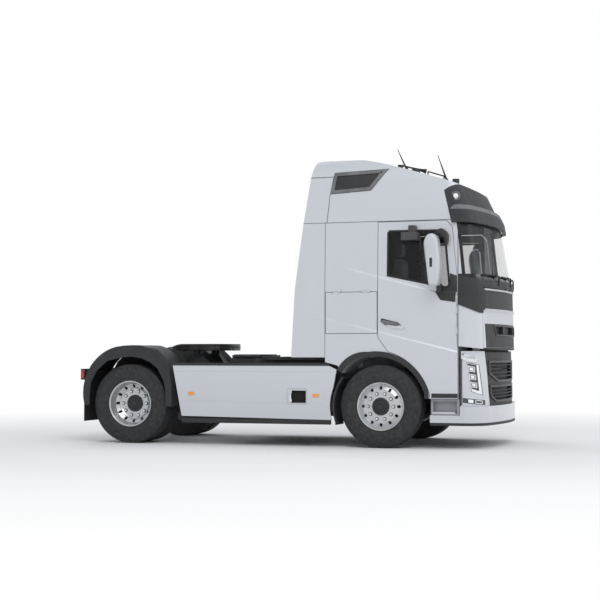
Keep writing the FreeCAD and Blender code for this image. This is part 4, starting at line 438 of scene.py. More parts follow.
def make_finishes():
    FINISH.update(
        paint=paint_finish(),
        cab=paint_finish("cab_paint", CAB_LEDGES, True),
        skirt=paint_finish("skirt_paint", SKIRT_LEDGES),
        plastic=plastic_finish("dark_plastic", settings().plastic),
        gloss=surface("gloss_black", (0.012, 0.012, 0.014), 0.16, grain=60.0, depth=0.02,
                      coat=0.6),
        grey=plastic_finish("grey_plastic", (0.14, 0.145, 0.15)),
        glass=glass_finish("windscreen_glass", tinted(settings().glass, 0.25), 0.11, True),
        dark_glass=glass_finish("side_window_glass", (0.018, 0.021, 0.021), 0.24),
        chrome=brushed_finish("bright_trim", (0.80, 0.81, 0.82), 0.12),
        case=surface("mirror_case", (0.52, 0.54, 0.57), 0.30, grain=90.0, depth=0.03, coat=0.5),
        mirror=brushed_finish("mirror_glass", (0.86, 0.88, 0.90), 0.08),
        frame=surface("frame_paint", (0.022, 0.022, 0.024), 0.48, grain=160.0, depth=0.2,
                      spread=0.3),
        cast=surface("cast_steel", (0.035, 0.034, 0.033), 0.62, metal=0.5, grain=210.0,
                     depth=0.5, spread=0.35, patch=9.0),
        engine=surface("engine_casting", (0.12, 0.125, 0.13), 0.55, metal=0.6, grain=190.0,
                       depth=0.4, spread=0.25, patch=7.0),
        core=surface("radiator_core", (0.02, 0.02, 0.021), 0.6, metal=0.5, grain=800.0,
                     depth=0.6),
        tank=brushed_finish("tank_metal", (0.20, 0.205, 0.21), 0.52, 0.6),
        rubber=rubber_finish(),
        flap=surface("flap_rubber", (0.016, 0.016, 0.016), 0.72, grain=120.0, depth=0.3),
        red=surface("red_lens", (0.42, 0.012, 0.014), 0.14, grain=30.0, depth=0.02, coat=0.7),
        amber=surface("amber_lens", (0.86, 0.30, 0.02), 0.16, grain=30.0, depth=0.02, coat=0.6),
        plate=plate_finish(),
        greased=surface("greased_steel", (0.040, 0.039, 0.038), 0.38, metal=0.6, grain=90.0,
                        depth=0.25, spread=0.4, rough_spread=0.14, patch=7.0),
        rim=surface("rim_metal", (0.60, 0.61, 0.62), 0.30, metal=0.75, grain=120.0, depth=0.06,
                    spread=0.05, rough_spread=0.05, patch=6.0),
        hole=surface("hand_hole_shade", (0.006, 0.006, 0.006), 0.9),
        hub=surface("hub_cap", (0.022, 0.022, 0.023), 0.42, grain=150.0, depth=0.15, spread=0.2),
        step=surface("step_plastic", (0.30, 0.305, 0.32), 0.42, grain=180.0, depth=0.12),
        trim=plastic_finish("trim_plastic", (0.050, 0.051, 0.054), 0.45),
        mesh=surface("grille_mesh", (0.010, 0.010, 0.011), 0.6, grain=170.0, depth=0.9),
        bowl=surface("lamp_bowl", (0.085, 0.088, 0.094), 0.22, metal=0.5, grain=90.0, depth=0.05),
        screen=surface("dark_screen", (0.008, 0.009, 0.011), 0.08, grain=30.0, depth=0.01,
                       coat=0.6),
        cloth=weave_finish("seat_cloth", settings().cloth),
        interior=plastic_finish("interior_plastic", (0.085, 0.085, 0.09), 0.62),
        reflector=surface("lamp_reflector", (0.78, 0.79, 0.80), 0.16, metal=0.85, grain=40.0,
                          depth=0.05, spread=0.05),
        white=surface("white_lamp", (0.86, 0.88, 0.90), 0.2, grain=30.0, depth=0.02, coat=0.5),
    )


# CAD solids that stay in view, by finish
CARRIED = {
    "cab": ("cab_shell", "high_roof", "side_deflectors", "door_left", "door_right",
            "locker_left", "locker_right"),
    "paint": ("corner_panels",),
    "skirt": ("side_skirts",),
    "plastic": ("roof_vents", "roof_front_panel", "arch_trims", "scuttle_panel",
                "lower_grille", "upper_grille", "skirt_strips", "front_mudguards",
                "rear_mudguards", "roof_fittings"),
    "step": ("entry_steps",),
    "glass": ("windscreen",),
    "dark_glass": ("door_glass_left", "door_glass_right"),
    "interior": ("dashboard", "steering_wheel", "seat_bases", "bunk_base"),
    "chrome": ("lid_strips",),
    "frame": ("chassis_frame", "fifth_wheel_base"),
    "cast": ("front_axle", "suspension", "rear_axle", "knuckle_left", "knuckle_right"),
    "engine": ("engine_block", "driveline"),
    "core": ("radiator",),
    "tank": ("fuel_tanks",),
    "flap": ("mud_flaps",),
    "amber": ("side_markers",),
    "plate": ("rear_deck",),
    "bowl": ("headlamps",),
}


# Modelling
def clear_selection():
    if bpy.context.mode != "OBJECT":
        bpy.ops.object.mode_set(mode="OBJECT")
    bpy.ops.object.select_all(action="DESELECT")


def only(piece):
    clear_selection()
    piece.select_set(True)
    bpy.context.view_layer.objects.active = piece


def editing(piece, action="SELECT"):
    """Opens a piece in edit mode, with all of it or nothing selected."""
    only(piece)
    bpy.ops.object.mode_set(mode="EDIT")
    bpy.ops.mesh.select_all(action=action)


def edited():
    bpy.ops.object.mode_set(mode="OBJECT")


def outwards():
    """Turns the normals of the piece in edit mode outwards."""
    bpy.ops.mesh.select_all(action="SELECT")
    bpy.ops.mesh.normals_make_consistent(inside=False)


def named(name):
    piece = bpy.context.object
    piece.name = name
    piece.data.name = name
    return piece


def settled(name):
    """Puts the new object's place into its mesh."""
    bpy.ops.object.transform_apply(location=True, rotation=True, scale=True)
    return named(name)


def box_piece(name, low, high):
    """A box between two corners."""
    clear_selection()
    bpy.ops.mesh.primitive_cube_add(size=1, location=[(a + b) / 2 for a, b in zip(low, high)],
                                    scale=[abs(b - a) for a, b in zip(low, high)])
    return settled(name)


def rod_piece(name, start, end, radius, sides=24, far_radius=None):
    """A round bar or cone between two points."""
    clear_selection()
    start, end = Vector(start), Vector(end)
    turn = Vector((0, 0, 1)).rotation_difference(end - start).to_euler()
    bpy.ops.mesh.primitive_cone_add(
        vertices=sides, radius1=radius, radius2=radius if far_radius is None else far_radius,
        depth=(end - start).length, location=(start + end) / 2, rotation=turn)
    return settled(name)


def rounded(piece, width, segments=2, angle=0.6):
    """Rounds a piece's sharp edges."""
    only(piece)
    bevel = piece.modifiers.new("edges", "BEVEL")
    bevel.width = width
    bevel.segments = segments
    bevel.angle_limit = angle
    bevel.limit_method = "ANGLE"
    bpy.ops.object.modifier_apply(modifier=bevel.name)
    return piece


def drawn_line(name, places):
    """A piece with edges from place to place, left open in edit mode."""
    clear_selection()
    bpy.ops.mesh.primitive_plane_add(size=0.01, location=(0, 0, 0))
    piece = named(name)
    bpy.ops.object.mode_set(mode="EDIT")
    bpy.ops.mesh.merge(type="CENTER")
    bpy.ops.transform.translate(value=places[0])
    for before, place in zip(places, places[1:]):
        step = [b - a for a, b in zip(before, place)]
        bpy.ops.mesh.extrude_vertices_move(TRANSFORM_OT_translate={"value": step})
    bpy.ops.mesh.select_all(action="SELECT")
    return piece


def turned_piece(name, outline, centre, steps, closed=True):
    """A profile of radius and place along Y, spun about the wheel's axis."""
    line = outline + outline[:1] if closed else outline
    piece = drawn_line(name, [(centre[0], centre[1] + along, centre[2] + radius)
                              for radius, along in line])
    bpy.ops.mesh.spin(steps=steps, angle=math.tau, center=centre, axis=(0, 1, 0))
    bpy.ops.mesh.select_all(action="SELECT")
    bpy.ops.mesh.remove_doubles(threshold=MERGE)
    outwards()
    edited()
    return piece


def mirrored(piece, name):
    """A copy with its own mesh on the other side of the vehicle."""
    only(piece)
    bpy.ops.object.duplicate()
    copy = named(name)
    editing(copy)
    bpy.ops.transform.mirror(constraint_axis=(False, True, False), center_override=(0, 0, 0))
    bpy.ops.mesh.normals_make_consistent(inside=False)
    edited()
    return copy


def merged(name, pieces):
    """Several shapes as one piece."""
    clear_selection()
    for piece in pieces:
        piece.select_set(True)
    bpy.context.view_layer.objects.active = pieces[0]
    if len(pieces) > 1:
        bpy.ops.object.join()
    return named(name)


def fitted(piece, body, finish, angle=0.6):
    """Gives a piece its shading, finish and body."""
    only(piece)
    bpy.ops.object.shade_smooth_by_angle(angle=angle)
    piece.data.materials.clear()
    piece.data.materials.append(FINISH[finish])
    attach(piece, body)
    return piece


def both(piece, name, bodies, finish, angle=0.6):
    """Fits a left piece and its mirror image."""
    other = mirrored(piece, name + "_right")
    piece.name = name + "_left"
    fitted(piece, bodies[0], finish, angle)
    fitted(other, bodies[1], finish, angle)
    return piece, other


PLANES = {"XZ": (0, 2, 1), "YZ": (1, 2, 0), "XY": (0, 1, 2)}


def outline_piece(name, points, place, depth, ring=None, plane="XZ"):
    """A plate from an outline, its face at a place along the third axis, with a hole if a ring."""
    def spread(across, up, third):
        spot = [0, 0, 0]
        for axis, value in zip(PLANES[plane], (across, up, third)):
            spot[axis] = value
        return spot

    piece = drawn_line(name, [spread(across, up, place) for across, up in points])
    bpy.ops.mesh.edge_face_add()
    if ring is not None:
        bpy.ops.mesh.inset(thickness=ring)
        bpy.ops.mesh.delete(type="FACE")
    bpy.ops.mesh.select_all(action="SELECT")
    if depth:
        bpy.ops.mesh.extrude_region_move(TRANSFORM_OT_translate={"value": spread(0, 0, depth)})
        outwards()
    edited()
    return piece


def plate_pair(name, points, place, depth, edge, bodies, finish, segments=2, ring=None):
    """A rounded plate on the left side and its mirror image."""
    plate = outline_piece(name, points, place, depth, ring)
    return both(rounded(plate, edge, segments), name, bodies, finish)


def rounded_box(name, low, high, edge):
    return rounded(box_piece(name, low, high), edge)


def dense(points, step):
    """The outline with extra points, so that it can follow a curved face."""
    result = []
    for number, point in enumerate(points):
        following = points[(number + 1) % len(points)]
        count = max(1, round(math.dist(point, following) / step))
        for part in range(count):
            share = part / count
            result.append(tuple(a + (b - a) * share for a, b in zip(point, following)))
    return result


def doubled(half):
    """An outline across the vehicle from its left half, top to bottom."""
    return half + [(-side, up) for side, up in reversed(half)]


def sliced(piece, axis, places):
    """Cuts a flat piece across at places along an axis."""
    normal = [int(number == axis) for number in range(3)]
    for place in places:
        editing(piece)
        bpy.ops.mesh.bisect(plane_co=[place * part for part in normal], plane_no=normal)
        edited()
    return piece


def steps_between(low, high, step):
    """Places between two others, at even steps from the lower one."""
    places = []
    place = low + step
    while place < high:
        places.append(place)
        place += step
    return places


def laid_on(piece, node, axis, thick, away=1):
    """Presses a flat piece onto a solid along an axis, then gives it thickness outwards."""
    only(piece)
    press = piece.modifiers.new("press", "SHRINKWRAP")
    press.target = NODES[node] if isinstance(node, str) else node
    press.wrap_method = "PROJECT"
    press.use_project_x = axis == 0
    press.use_project_y = axis == 1
    press.use_project_z = axis == 2
    press.use_negative_direction = away > 0
    press.use_positive_direction = away < 0
    bpy.ops.object.modifier_apply(modifier=press.name)
    editing(piece)
    move = [0, 0, 0]
    move[axis] = thick * away
    bpy.ops.mesh.extrude_region_move(TRANSFORM_OT_translate={"value": move})
    outwards()
    edited()
    return piece


def part_of(node, name, cuts):
    """A copy of a CAD solid, merged and cut down by planes: each a point, a normal to drop."""
    clear_selection()
    piece = bpy.data.objects.new(name, NODES[node].data.copy())
    bpy.context.scene.collection.objects.link(piece)
    only(piece)
    piece.data.name = name
    bpy.ops.mesh.customdata_custom_splitnormals_clear()
    editing(piece)
    bpy.ops.mesh.remove_doubles(threshold=MERGE)
    for place, normal in cuts:
        bpy.ops.mesh.select_all(action="SELECT")
        bpy.ops.mesh.bisect(plane_co=place, plane_no=normal, use_fill=True, clear_outer=True)
    bpy.ops.mesh.select_all(action="SELECT")
    bpy.ops.mesh.dissolve_limited(angle_limit=0.008)
    edited()
    return piece


def nose_form(reach, lean=0.0):
    """A bowed surface across the front that other pieces are laid on, removed after use."""
    clear_selection()
    low, high, middle = 0.2, 2.4, 1.25
    bpy.ops.mesh.primitive_cone_add(
        vertices=720, radius1=BOW - lean * (low - middle), radius2=BOW - lean * (high - middle),
        depth=high - low, location=(reach - BOW, 0, (low + high) / 2))
    return settled("nose_form")


def nose_x(side, up):
    """How far forward the bowed nose reaches below the windscreen."""
    return HIGH_REACH - HIGH_LEAN * (up - 1.25) - side * side / (2 * BOW)


def nose_plate(name, half, reach, lean, thick, ring=None, cut_to=None):
    """A plate or frame across the bowed front, from its left half."""
    form = nose_form(reach, lean)
    plate = outline_piece(name, dense(doubled(half), 0.07), AHEAD, 0, ring=ring, plane="YZ")
    if cut_to is not None:
        sliced(plate, 1, steps_between(-cut_to, cut_to, 0.07))
    laid_on(plate, form, 0, thick)
    bpy.data.objects.remove(form)
    return plate


def chosen_faces(piece, test, flush=True):
    """Selects the faces whose middle passes a test, in edit mode."""
    editing(piece, "DESELECT")
    mesh = bmesh.from_edit_mesh(piece.data)
    for face in mesh.faces:
        if test(face.calc_center_median(), face.normal):
            face.select = True
    if flush:
        mesh.select_flush(True)
    bmesh.update_edit_mesh(piece.data)


def puffed(piece, voxel, cap):
    """Fills a pad from inside with a short cloth run, then smooths it."""
    only(piece)
    remesh = piece.modifiers.new("remesh", "REMESH")
    remesh.mode = "VOXEL"
    remesh.voxel_size = voxel
    bpy.ops.object.modifier_apply(modifier=remesh.name)
    start = [vertex.co.copy() for vertex in piece.data.vertices]
    cloth = piece.modifiers.new("filling", "CLOTH")
    cloth.settings.use_pressure = True
    cloth.settings.uniform_pressure_force = 4.0
    cloth.settings.effector_weights.gravity = 0.0
    cloth.point_cache.frame_start = 1
    cloth.point_cache.frame_end = 20
    for number in range(1, 21):
        bpy.context.scene.frame_set(number)
    bpy.ops.object.modifier_apply(modifier=cloth.name)
    bpy.context.scene.frame_set(1)
    for vertex, place in zip(piece.data.vertices, start):
        move = vertex.co - place
        if move.length > cap:
            vertex.co = place + move * (cap / move.length)
    smooth = piece.modifiers.new("smooth", "SUBSURF")
    smooth.levels = 1
    smooth.render_levels = 1
    bpy.ops.object.modifier_apply(modifier=smooth.name)
    return piece


def ring_places(centre, radius, count):
    for number in range(count):
        angle = math.tau * number / count
        yield (centre[0] + radius * math.cos(angle), centre[1],
               centre[2] + radius * math.sin(angle))


# Operators, one for each group of like pieces
class TRUCK_OT_finishes(bpy.types.Operator):
    """Gives every carried-over solid its finish and smooth shading"""
    bl_idname = "truck.finishes"
    bl_label = "Finishes"

    def execute(self, context):
        make_finishes()
        for finish, names in CARRIED.items():
            for name in names:
                node = NODES[name]
                only(node)
                node.data.materials.clear()
                node.data.materials.append(FINISH[finish])
                bpy.ops.mesh.customdata_custom_splitnormals_clear()
                bpy.ops.object.shade_smooth()
                node.modifiers.new("weld", "WELD").merge_threshold = MERGE
                node.modifiers.new("sharp_edges", "EDGE_SPLIT").split_angle = 0.5
        return {"FINISHED"}


def floor_finish():
    """Pale floor that keeps the shadow and turns white far away."""
    material = bpy.data.materials.new("pale_floor")
    material.use_nodes = True
    nodes, links = material.node_tree.nodes, material.node_tree.links
    shader = nodes["Principled BSDF"]
    shader.inputs["Base Color"].default_value = (*settings().floor, 1)
    fixed(shader, Roughness=0.9, Specular_IOR_Level=0.0)
    away = nodes.new("ShaderNodeTexCoord")
    distance = nodes.new("ShaderNodeVectorMath")
    distance.operation = "LENGTH"
    links.new(away.outputs["Object"], distance.inputs[0])
    fade = nodes.new("ShaderNodeMapRange")
    fade.inputs["From Min"].default_value = 5.0
    fade.inputs["From Max"].default_value = 11.0
    links.new(distance.outputs["Value"], fade.inputs["Value"])
    glow = nodes.new("ShaderNodeEmission")
    mix = nodes.new("ShaderNodeMixShader")
    links.new(fade.outputs["Result"], mix.inputs["Fac"])
    links.new(shader.outputs["BSDF"], mix.inputs[1])
    links.new(glow.outputs["Emission"], mix.inputs[2])
    links.new(mix.outputs["Shader"], nodes["Material Output"].inputs["Surface"])
    return material


def surroundings():
    """Soft light from all round, white where the camera sees it."""
    world = bpy.data.worlds.new("surroundings")
    world.use_nodes = True
    nodes, links = world.node_tree.nodes, world.node_tree.links
    back = nodes["Background"]
    back.inputs["Color"].default_value = (0.93, 0.96, 1.0, 1)
    back.inputs["Strength"].default_value = 0.70
    white = nodes.new("ShaderNodeBackground")
    white.inputs["Color"].default_value = (1, 1, 1, 1)
    white.inputs["Strength"].default_value = 1.0
    path = nodes.new("ShaderNodeLightPath")
    seen = nodes.new("ShaderNodeMath")
    seen.operation = "MAXIMUM"
    links.new(path.outputs["Is Camera Ray"], seen.inputs[0])
    links.new(path.outputs["Is Transmission Ray"], seen.inputs[1])
    mix = nodes.new("ShaderNodeMixShader")
    links.new(seen.outputs["Value"], mix.inputs["Fac"])
    links.new(back.outputs["Background"], mix.inputs[1])
    links.new(white.outputs["Background"], mix.inputs[2])
    links.new(mix.outputs["Shader"], nodes["World Output"].inputs["Surface"])
    return world


class TRUCK_OT_stage(bpy.types.Operator):
    """Adds the floor, the lights, the pale surroundings and the camera"""
    bl_idname = "truck.stage"
    bl_label = "Stage"

    def execute(self, context):
        clear_selection()
        bpy.ops.mesh.primitive_plane_add(size=400, location=(0, 0, -0.0005))
        floor = named("floor")
        floor.data.materials.append(floor_finish())
        context.scene.world = surroundings()
        for name, place, size, power in LIGHTS:
            bpy.ops.object.light_add(type="AREA", location=place)
            lamp = bpy.context.object
            lamp.name = name
            lamp.data.size = size
            lamp.data.energy = power
            lamp.rotation_euler = (LIGHT_AIM - Vector(place)).to_track_quat("-Z", "Y").to_euler()
        turn = (CAMERA_AIM - CAMERA_PLACE).to_track_quat("-Z", "Y").to_euler()
        bpy.ops.object.camera_add(location=CAMERA_PLACE, rotation=turn)
        camera = bpy.context.object
        camera.name = "photo_view"
        camera.data.lens = settings().camera_lens
        camera.data.sensor_width = 36.0
        camera.data.clip_end = 500.0
        context.scene.camera = camera
        context.scene.view_settings.view_transform = "Standard"
        return {"FINISHED"}


class TRUCK_OT_tyres(bpy.types.Operator):
    """Models the six tyres with grooves, shoulder blocks and ribbed side walls"""
    bl_idname = "truck.tyres"
    bl_label = "Tyres"

    # From bead to tread's middle: share of the height and share of the width in from the wall
    PROFILE_SHARES = (
        (0.00, 0.10), (0.03, 0.075), (0.10, 0.060), (0.22, 0.034), (0.24, 0.026),
        (0.30, 0.018), (0.40, 0.004), (0.50, 0.000), (0.60, 0.006), (0.70, 0.020),
        (0.72, 0.014), (0.78, 0.022), (0.80, 0.032), (0.90, 0.062), (0.965, 0.084),
        (0.992, 0.110), (0.998, 0.235), (0.940, 0.245), (0.940, 0.272), (1.0, 0.282),
        (1.0, 0.395), (0.935, 0.403), (0.935, 0.432), (1.0, 0.440), (1.0, 0.500),
    )
    # Name, place across, rim, replaced node and body
    TYRES = (
        ("front_single_tyre", 1.0625, "front_rim_left", "front_tyre_%s", "front_wheel_%s"),
        ("rear_outer_tyre", 1.0625, "rear_rims_left", "rear_tyres_%s", "rear_wheels_%s"),
        ("rear_inner_tyre", 0.7125, "rear_rims_left", "rear_tyres_%s", "rear_wheels_%s"),
    )

    def execute(self, context):
        sizes = settings()
        radius, bead, width = sizes.tyre_radius, sizes.bead_radius, sizes.tyre_width
        steps = sizes.tread_steps * 2
        half = [(bead + (radius - bead) * up, width * (0.5 - inwards))
                for up, inwards in self.PROFILE_SHARES]
        whole = half + [(far, -along) for far, along in reversed(half[:-1])]
        for name, place, rim, node, body in self.TYRES:
            low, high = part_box(rim)
            centre_x = (low.x + high.x) / 2
            piece = turned_piece(name, whole, (centre_x, place, radius), steps)

            def in_groove(middle, normal):
                away = Vector((middle.x - centre_x, 0, middle.z - radius))
                turn = math.atan2(away.z, away.x) / math.tau * steps
                across = abs(middle.y - place) / width
                shoulder = away.length > radius * 0.985 and 0.27 < across < 0.40
                return shoulder and int(math.floor(turn + 0.5)) % 2 == 0

            chosen_faces(piece, in_groove, flush=False)
            bpy.ops.mesh.inset(thickness=0.004, use_individual=True)
            bpy.ops.mesh.extrude_region_shrink_fatten(
                TRANSFORM_OT_shrink_fatten={"value": -0.011})
            edited()
            left, right = both(piece, name, (body % "left", body % "right"), "rubber",
                               0.5)
            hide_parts(node % "left")
            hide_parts(node % "right")
        return {"FINISHED"}


class TRUCK_OT_wheels(bpy.types.Operator):
    """Models the rims with their hand holes, and the wheel nuts and hub caps"""
    bl_idname = "truck.wheels"
    bl_label = "Rims, nuts and hubs"

    # Profiles of radius and place across
    LIP = [(0.290, 1.186), (0.305, 1.194), (0.310, 1.202), (0.307, 1.209), (0.298, 1.209),
           (0.289, 1.200), (0.284, 1.180)]
    FRONT = [(0.290, 0.940)] + LIP + [
        (0.276, 1.160), (0.262, 1.163), (0.254, 1.167), (0.246, 1.171), (0.238, 1.175),
        (0.230, 1.179), (0.222, 1.182), (0.214, 1.184), (0.205, 1.186), (0.112, 1.186),
        (0.048, 1.186), (0.048, 1.166), (0.200, 1.166), (0.262, 1.143), (0.268, 1.130),
        (0.268, 0.940)]
    REAR = [(0.290, 0.590)] + LIP + [
        (0.272, 1.150), (0.268, 1.104), (0.262, 1.092), (0.254, 1.087), (0.246, 1.082),
        (0.238, 1.077), (0.230, 1.072), (0.222, 1.066), (0.214, 1.058), (0.202, 1.046),
        (0.190, 1.040), (0.048, 1.040), (0.048, 1.018), (0.196, 1.018), (0.262, 1.068),
        (0.268, 1.068), (0.268, 0.590)]
    CAP = [(0.0, 0.0), (0.113, 0.0), (0.115, 0.010), (0.108, 0.022), (0.086, 0.026),
           (0.082, 0.020), (0.074, 0.020), (0.070, 0.030), (0.050, 0.034),
           (0.046, 0.028), (0.040, 0.028), (0.036, 0.036), (0.0, 0.038)]
    HOLES = 12
    HOLE_CIRCLE = 0.238
    HOLE_RADIUS = 0.0255
    NUTS = 10

    def execute(self, context):
        for axle, outline, face, node, body in (
            ("front", self.FRONT, 1.186, "front_rim_%s", "front_wheel_%s"),
            ("rear", self.REAR, 1.040, "rear_rims_%s", "rear_wheels_%s"),
        ):
            bodies = (body % "left", body % "right")
            low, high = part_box(node % "left")
            centre = Vector(((low.x + high.x) / 2, 0, (low.z + high.z) / 2))
            rim = turned_piece("rim", outline, centre, 144)
            holes = list(ring_places(centre, self.HOLE_CIRCLE, self.HOLES))

            def in_hole(middle, normal):
                spot = Vector((middle.x, 0, middle.z))
                near_hole = min((spot - Vector((hole[0], 0, hole[2]))).length for hole in holes)
                return normal.y > 0.5 and near_hole < self.HOLE_RADIUS

            chosen_faces(rim, in_hole)
            bpy.ops.mesh.inset(thickness=0.0015)
            bpy.ops.mesh.extrude_region_shrink_fatten(
                TRANSFORM_OT_shrink_fatten={"value": -0.016})
            edited()
            chosen = [polygon.select for polygon in rim.data.polygons]
            left, right = both(rim, "%s_wheel_disc" % axle, bodies, "rim", 0.5)
            for piece in (left, right):
                piece.data.materials.append(FINISH["hole"])
                for polygon, dark in zip(piece.data.polygons, chosen):
                    polygon.material_index = int(dark)
            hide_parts(node % "left")
            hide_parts(node % "right")
            self.small_parts(axle, centre, face, bodies)
        return {"FINISHED"}

    def small_parts(self, axle, centre, face, bodies):
        """Adds nuts with studs, washers, the hub cap and the valve."""
        nuts, washers = [], []
        for spot in ring_places((centre.x, face, centre.z), settings().nut_circle, self.NUTS):
            spot = Vector(spot)

            def disc(name, start, end, radius, sides, edge):
                rod = rod_piece(name, spot + Vector((0, start, 0)), spot + Vector((0, end, 0)),
                                radius, sides)
                return rounded(rod, edge)

            nuts.append(disc("nut", 0, 0.020, 0.0175, 6, 0.0015))
            washers.append(disc("washer", 0, 0.004, 0.025, 16, 0.001))
            nuts.append(disc("stud", 0.018, 0.028, 0.010, 12, 0.0015))
        both(merged("nuts", nuts), "%s_nuts" % axle, bodies, "chrome")
        both(merged("washers", washers), "%s_washers" % axle, bodies, "engine")
        hub = turned_piece("cap", self.CAP, (centre.x, face - 0.004, centre.z), 48, closed=False)
        both(hub, "%s_hub_cap" % axle, bodies, "hub")
        valve = rod_piece("valve", (centre.x + 0.262, face + 0.002, centre.z + 0.02),
                          (centre.x + 0.268, face + 0.022, centre.z + 0.02), 0.004, 10)
        both(rounded(valve, 0.001), "%s_valve" % axle, bodies, "rim")


class TRUCK_OT_two_tone(bpy.types.Operator):
    """Splits the lid, bumper and visor where their colour changes"""
    bl_idname = "truck.two_tone"
    bl_label = "Two-tone panels"

    # Node, body, heights of the changes from the top down, and each part's name and finish
    PANELS = (
        ("front_lid", "lid", (1.760, 1.284),
         (("black", "plastic"), ("painted", "paint"), ("foot", "plastic"))),
        ("front_bumper", "chassis", (0.336,), (("painted", "paint"), ("lip", "plastic"))),
        ("sun_visor", "cab", (3.035,), (("strip", "grey"), ("blade", "plastic"))),
    )

    def execute(self, context):
        for node, body, levels, parts in self.PANELS:
            for number, (label, finish) in enumerate(parts):
                cuts = [((0, 0, level), (0, 0, 1)) for level in levels[max(0, number - 1):number]]
                cuts += [((0, 0, level), (0, 0, -1)) for level in levels[number:number + 1]]
                piece = part_of(node, "%s_%s" % (node, label), cuts)
                fitted(piece, body, finish, 0.5)
                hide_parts(node)
        return {"FINISHED"}


class TRUCK_OT_mirrors(bpy.types.Operator):
    """Models the mirrors: bright rounded cases, dark arms and feet, glass and knuckles"""
    bl_idname = "truck.mirrors"
    bl_label = "Mirrors"

    CASE = [(2.096, 2.058), (2.205, 2.050), (2.226, 2.120), (2.232, 2.367), (2.206, 2.640),
            (2.165, 2.712), (2.082, 2.700), (2.034, 2.610)]
    KNUCKLE = [(2.112, 2.700), (2.150, 2.768), (2.222, 2.790), (2.286, 2.738), (2.298, 2.640),
               (2.272, 2.560), (2.244, 2.660), (2.190, 2.706)]
    GLASS_LOW = (2.0926, 2.105)
    GLASS_HIGH = (2.0374, 2.565)
    ARM_END = 1.329
    KERB_END = 1.95

    def execute(self, context):
        case = rounded(outline_piece("mirror_case", self.CASE, 1.335, 0.232), 0.044, 6, 0.25)
        left, right = both(case, "mirror_case", DOORS, "case")
        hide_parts("mirror_left")
        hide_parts("mirror_right")
        for name, side in (("left", 1), ("right", -1)):
            arms = part_of("mirror_" + name, "mirror_arms_" + name,
                           [((0, self.ARM_END * side, 0), (0, side, 0)),
                            ((self.KERB_END, 0, 0), (-1, 0, 0))])
            fitted(rounded(arms, 0.010, 3), "door_%s_body" % name, "plastic")
            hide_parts("mirror_" + name)
        kerb = part_of("mirror_right", "kerb_mirror", [((self.KERB_END, 0, 0), (1, 0, 0))])
        fitted(rounded(kerb, 0.020, 4), "door_right_body", "trim")
        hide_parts("mirror_right")
        low, high = self.GLASS_LOW, self.GLASS_HIGH
        for label, inset, depth, finish in (("rim", 0.0, 0.004, "plastic"),
                                            ("glass", 0.012, 0.007, "mirror")):
            outline = [(low[0], low[1] + inset), (high[0], high[1] - inset),
                       (high[0] - depth, high[1] - inset), (low[0] - depth, low[1] + inset)]
            plate_pair("mirror_" + label, outline, 1.376 + inset, 0.150 - inset * 2, 0.0015,
                       DOORS, finish)
        slot = rounded_box("mirror_slot", (2.116, 1.5635, 2.285), (2.152, 1.5685, 2.402), 0.002)
        both(slot, "mirror_slot", DOORS, "gloss")
        plate_pair("mirror_knuckle", self.KNUCKLE, 1.222, 0.122, 0.016, DOORS,
                   "plastic", 4)
        return {"FINISHED"}


class TRUCK_OT_seals(bpy.types.Operator):
    """Adds the window and vent frames, the door's dark foot, its handle and the pillar cover"""
    bl_idname = "truck.seals"
    bl_label = "Seals and frames"

    WINDOW = [(1.490, 2.757), (1.486, 2.198), (2.269, 2.031), (2.312, 2.071), (2.253, 2.728),
              (2.219, 2.782), (1.517, 2.785)]
    VENT = [(0.720, 3.282), (0.774, 3.558), (1.488, 3.586), (1.264, 3.313)]
    FOOT = [(2.064, 0.650), (2.400, 0.650), (2.400, 0.706), (2.064, 0.706)]
    HANDLE = [(1.428, 1.640), (1.418, 1.612), (1.473, 1.580), (1.623, 1.558), (1.661, 1.575),
              (1.623, 1.602)]
    HANDLE_MIDDLE = (1.540, 1.596)
    DISH_SCALE = (1.12, 1.45)
    PILLAR = [(2.168, 2.054), (2.180, 1.984), (2.398, 1.984), (2.396, 2.190), (2.308, 2.222),
              (2.310, 2.074), (2.270, 2.034)]

    def execute(self, context):
        seal = outline_piece("window_seal", dense(self.WINDOW, 0.12), BESIDE, 0, ring=0.026)
        laid_on(seal, "door_glass_left", 1, 0.015)
        both(rounded(seal, 0.003), "window_seal", DOORS, "flap")
        ring = outline_piece("vent_frame", dense(self.VENT, 0.08), BESIDE, 0, ring=0.045)
        laid_on(ring, "roof_vents", 1, 0.012)
        both(rounded(ring, 0.004), "vent_frame", CAB, "grey")
        strip = outline_piece("door_foot", self.FOOT, BESIDE, 0)
        sliced(strip, 0, steps_between(self.FOOT[0][0], self.FOOT[1][0], 0.12))
        laid_on(strip, "door_left", 1, 0.004)
        both(rounded(strip, 0.0015), "door_foot", DOORS, "plastic")
        plate_pair("door_handle", self.HANDLE, 1.2655, 0.006, 0.004, DOORS,
                   "grey", 3)
        dish = [tuple(middle + (part - middle) * scale for part, middle, scale
                      in zip(point, self.HANDLE_MIDDLE, self.DISH_SCALE))
                for point in self.HANDLE]
        plate_pair("handle_dish", dish, 1.2452, 0.003, 0.001, DOORS, "plastic")
        plate_pair("pillar_cover", self.PILLAR, 1.2375, 0.013, 0.004, DOORS,
                   "plastic")
        return {"FINISHED"}


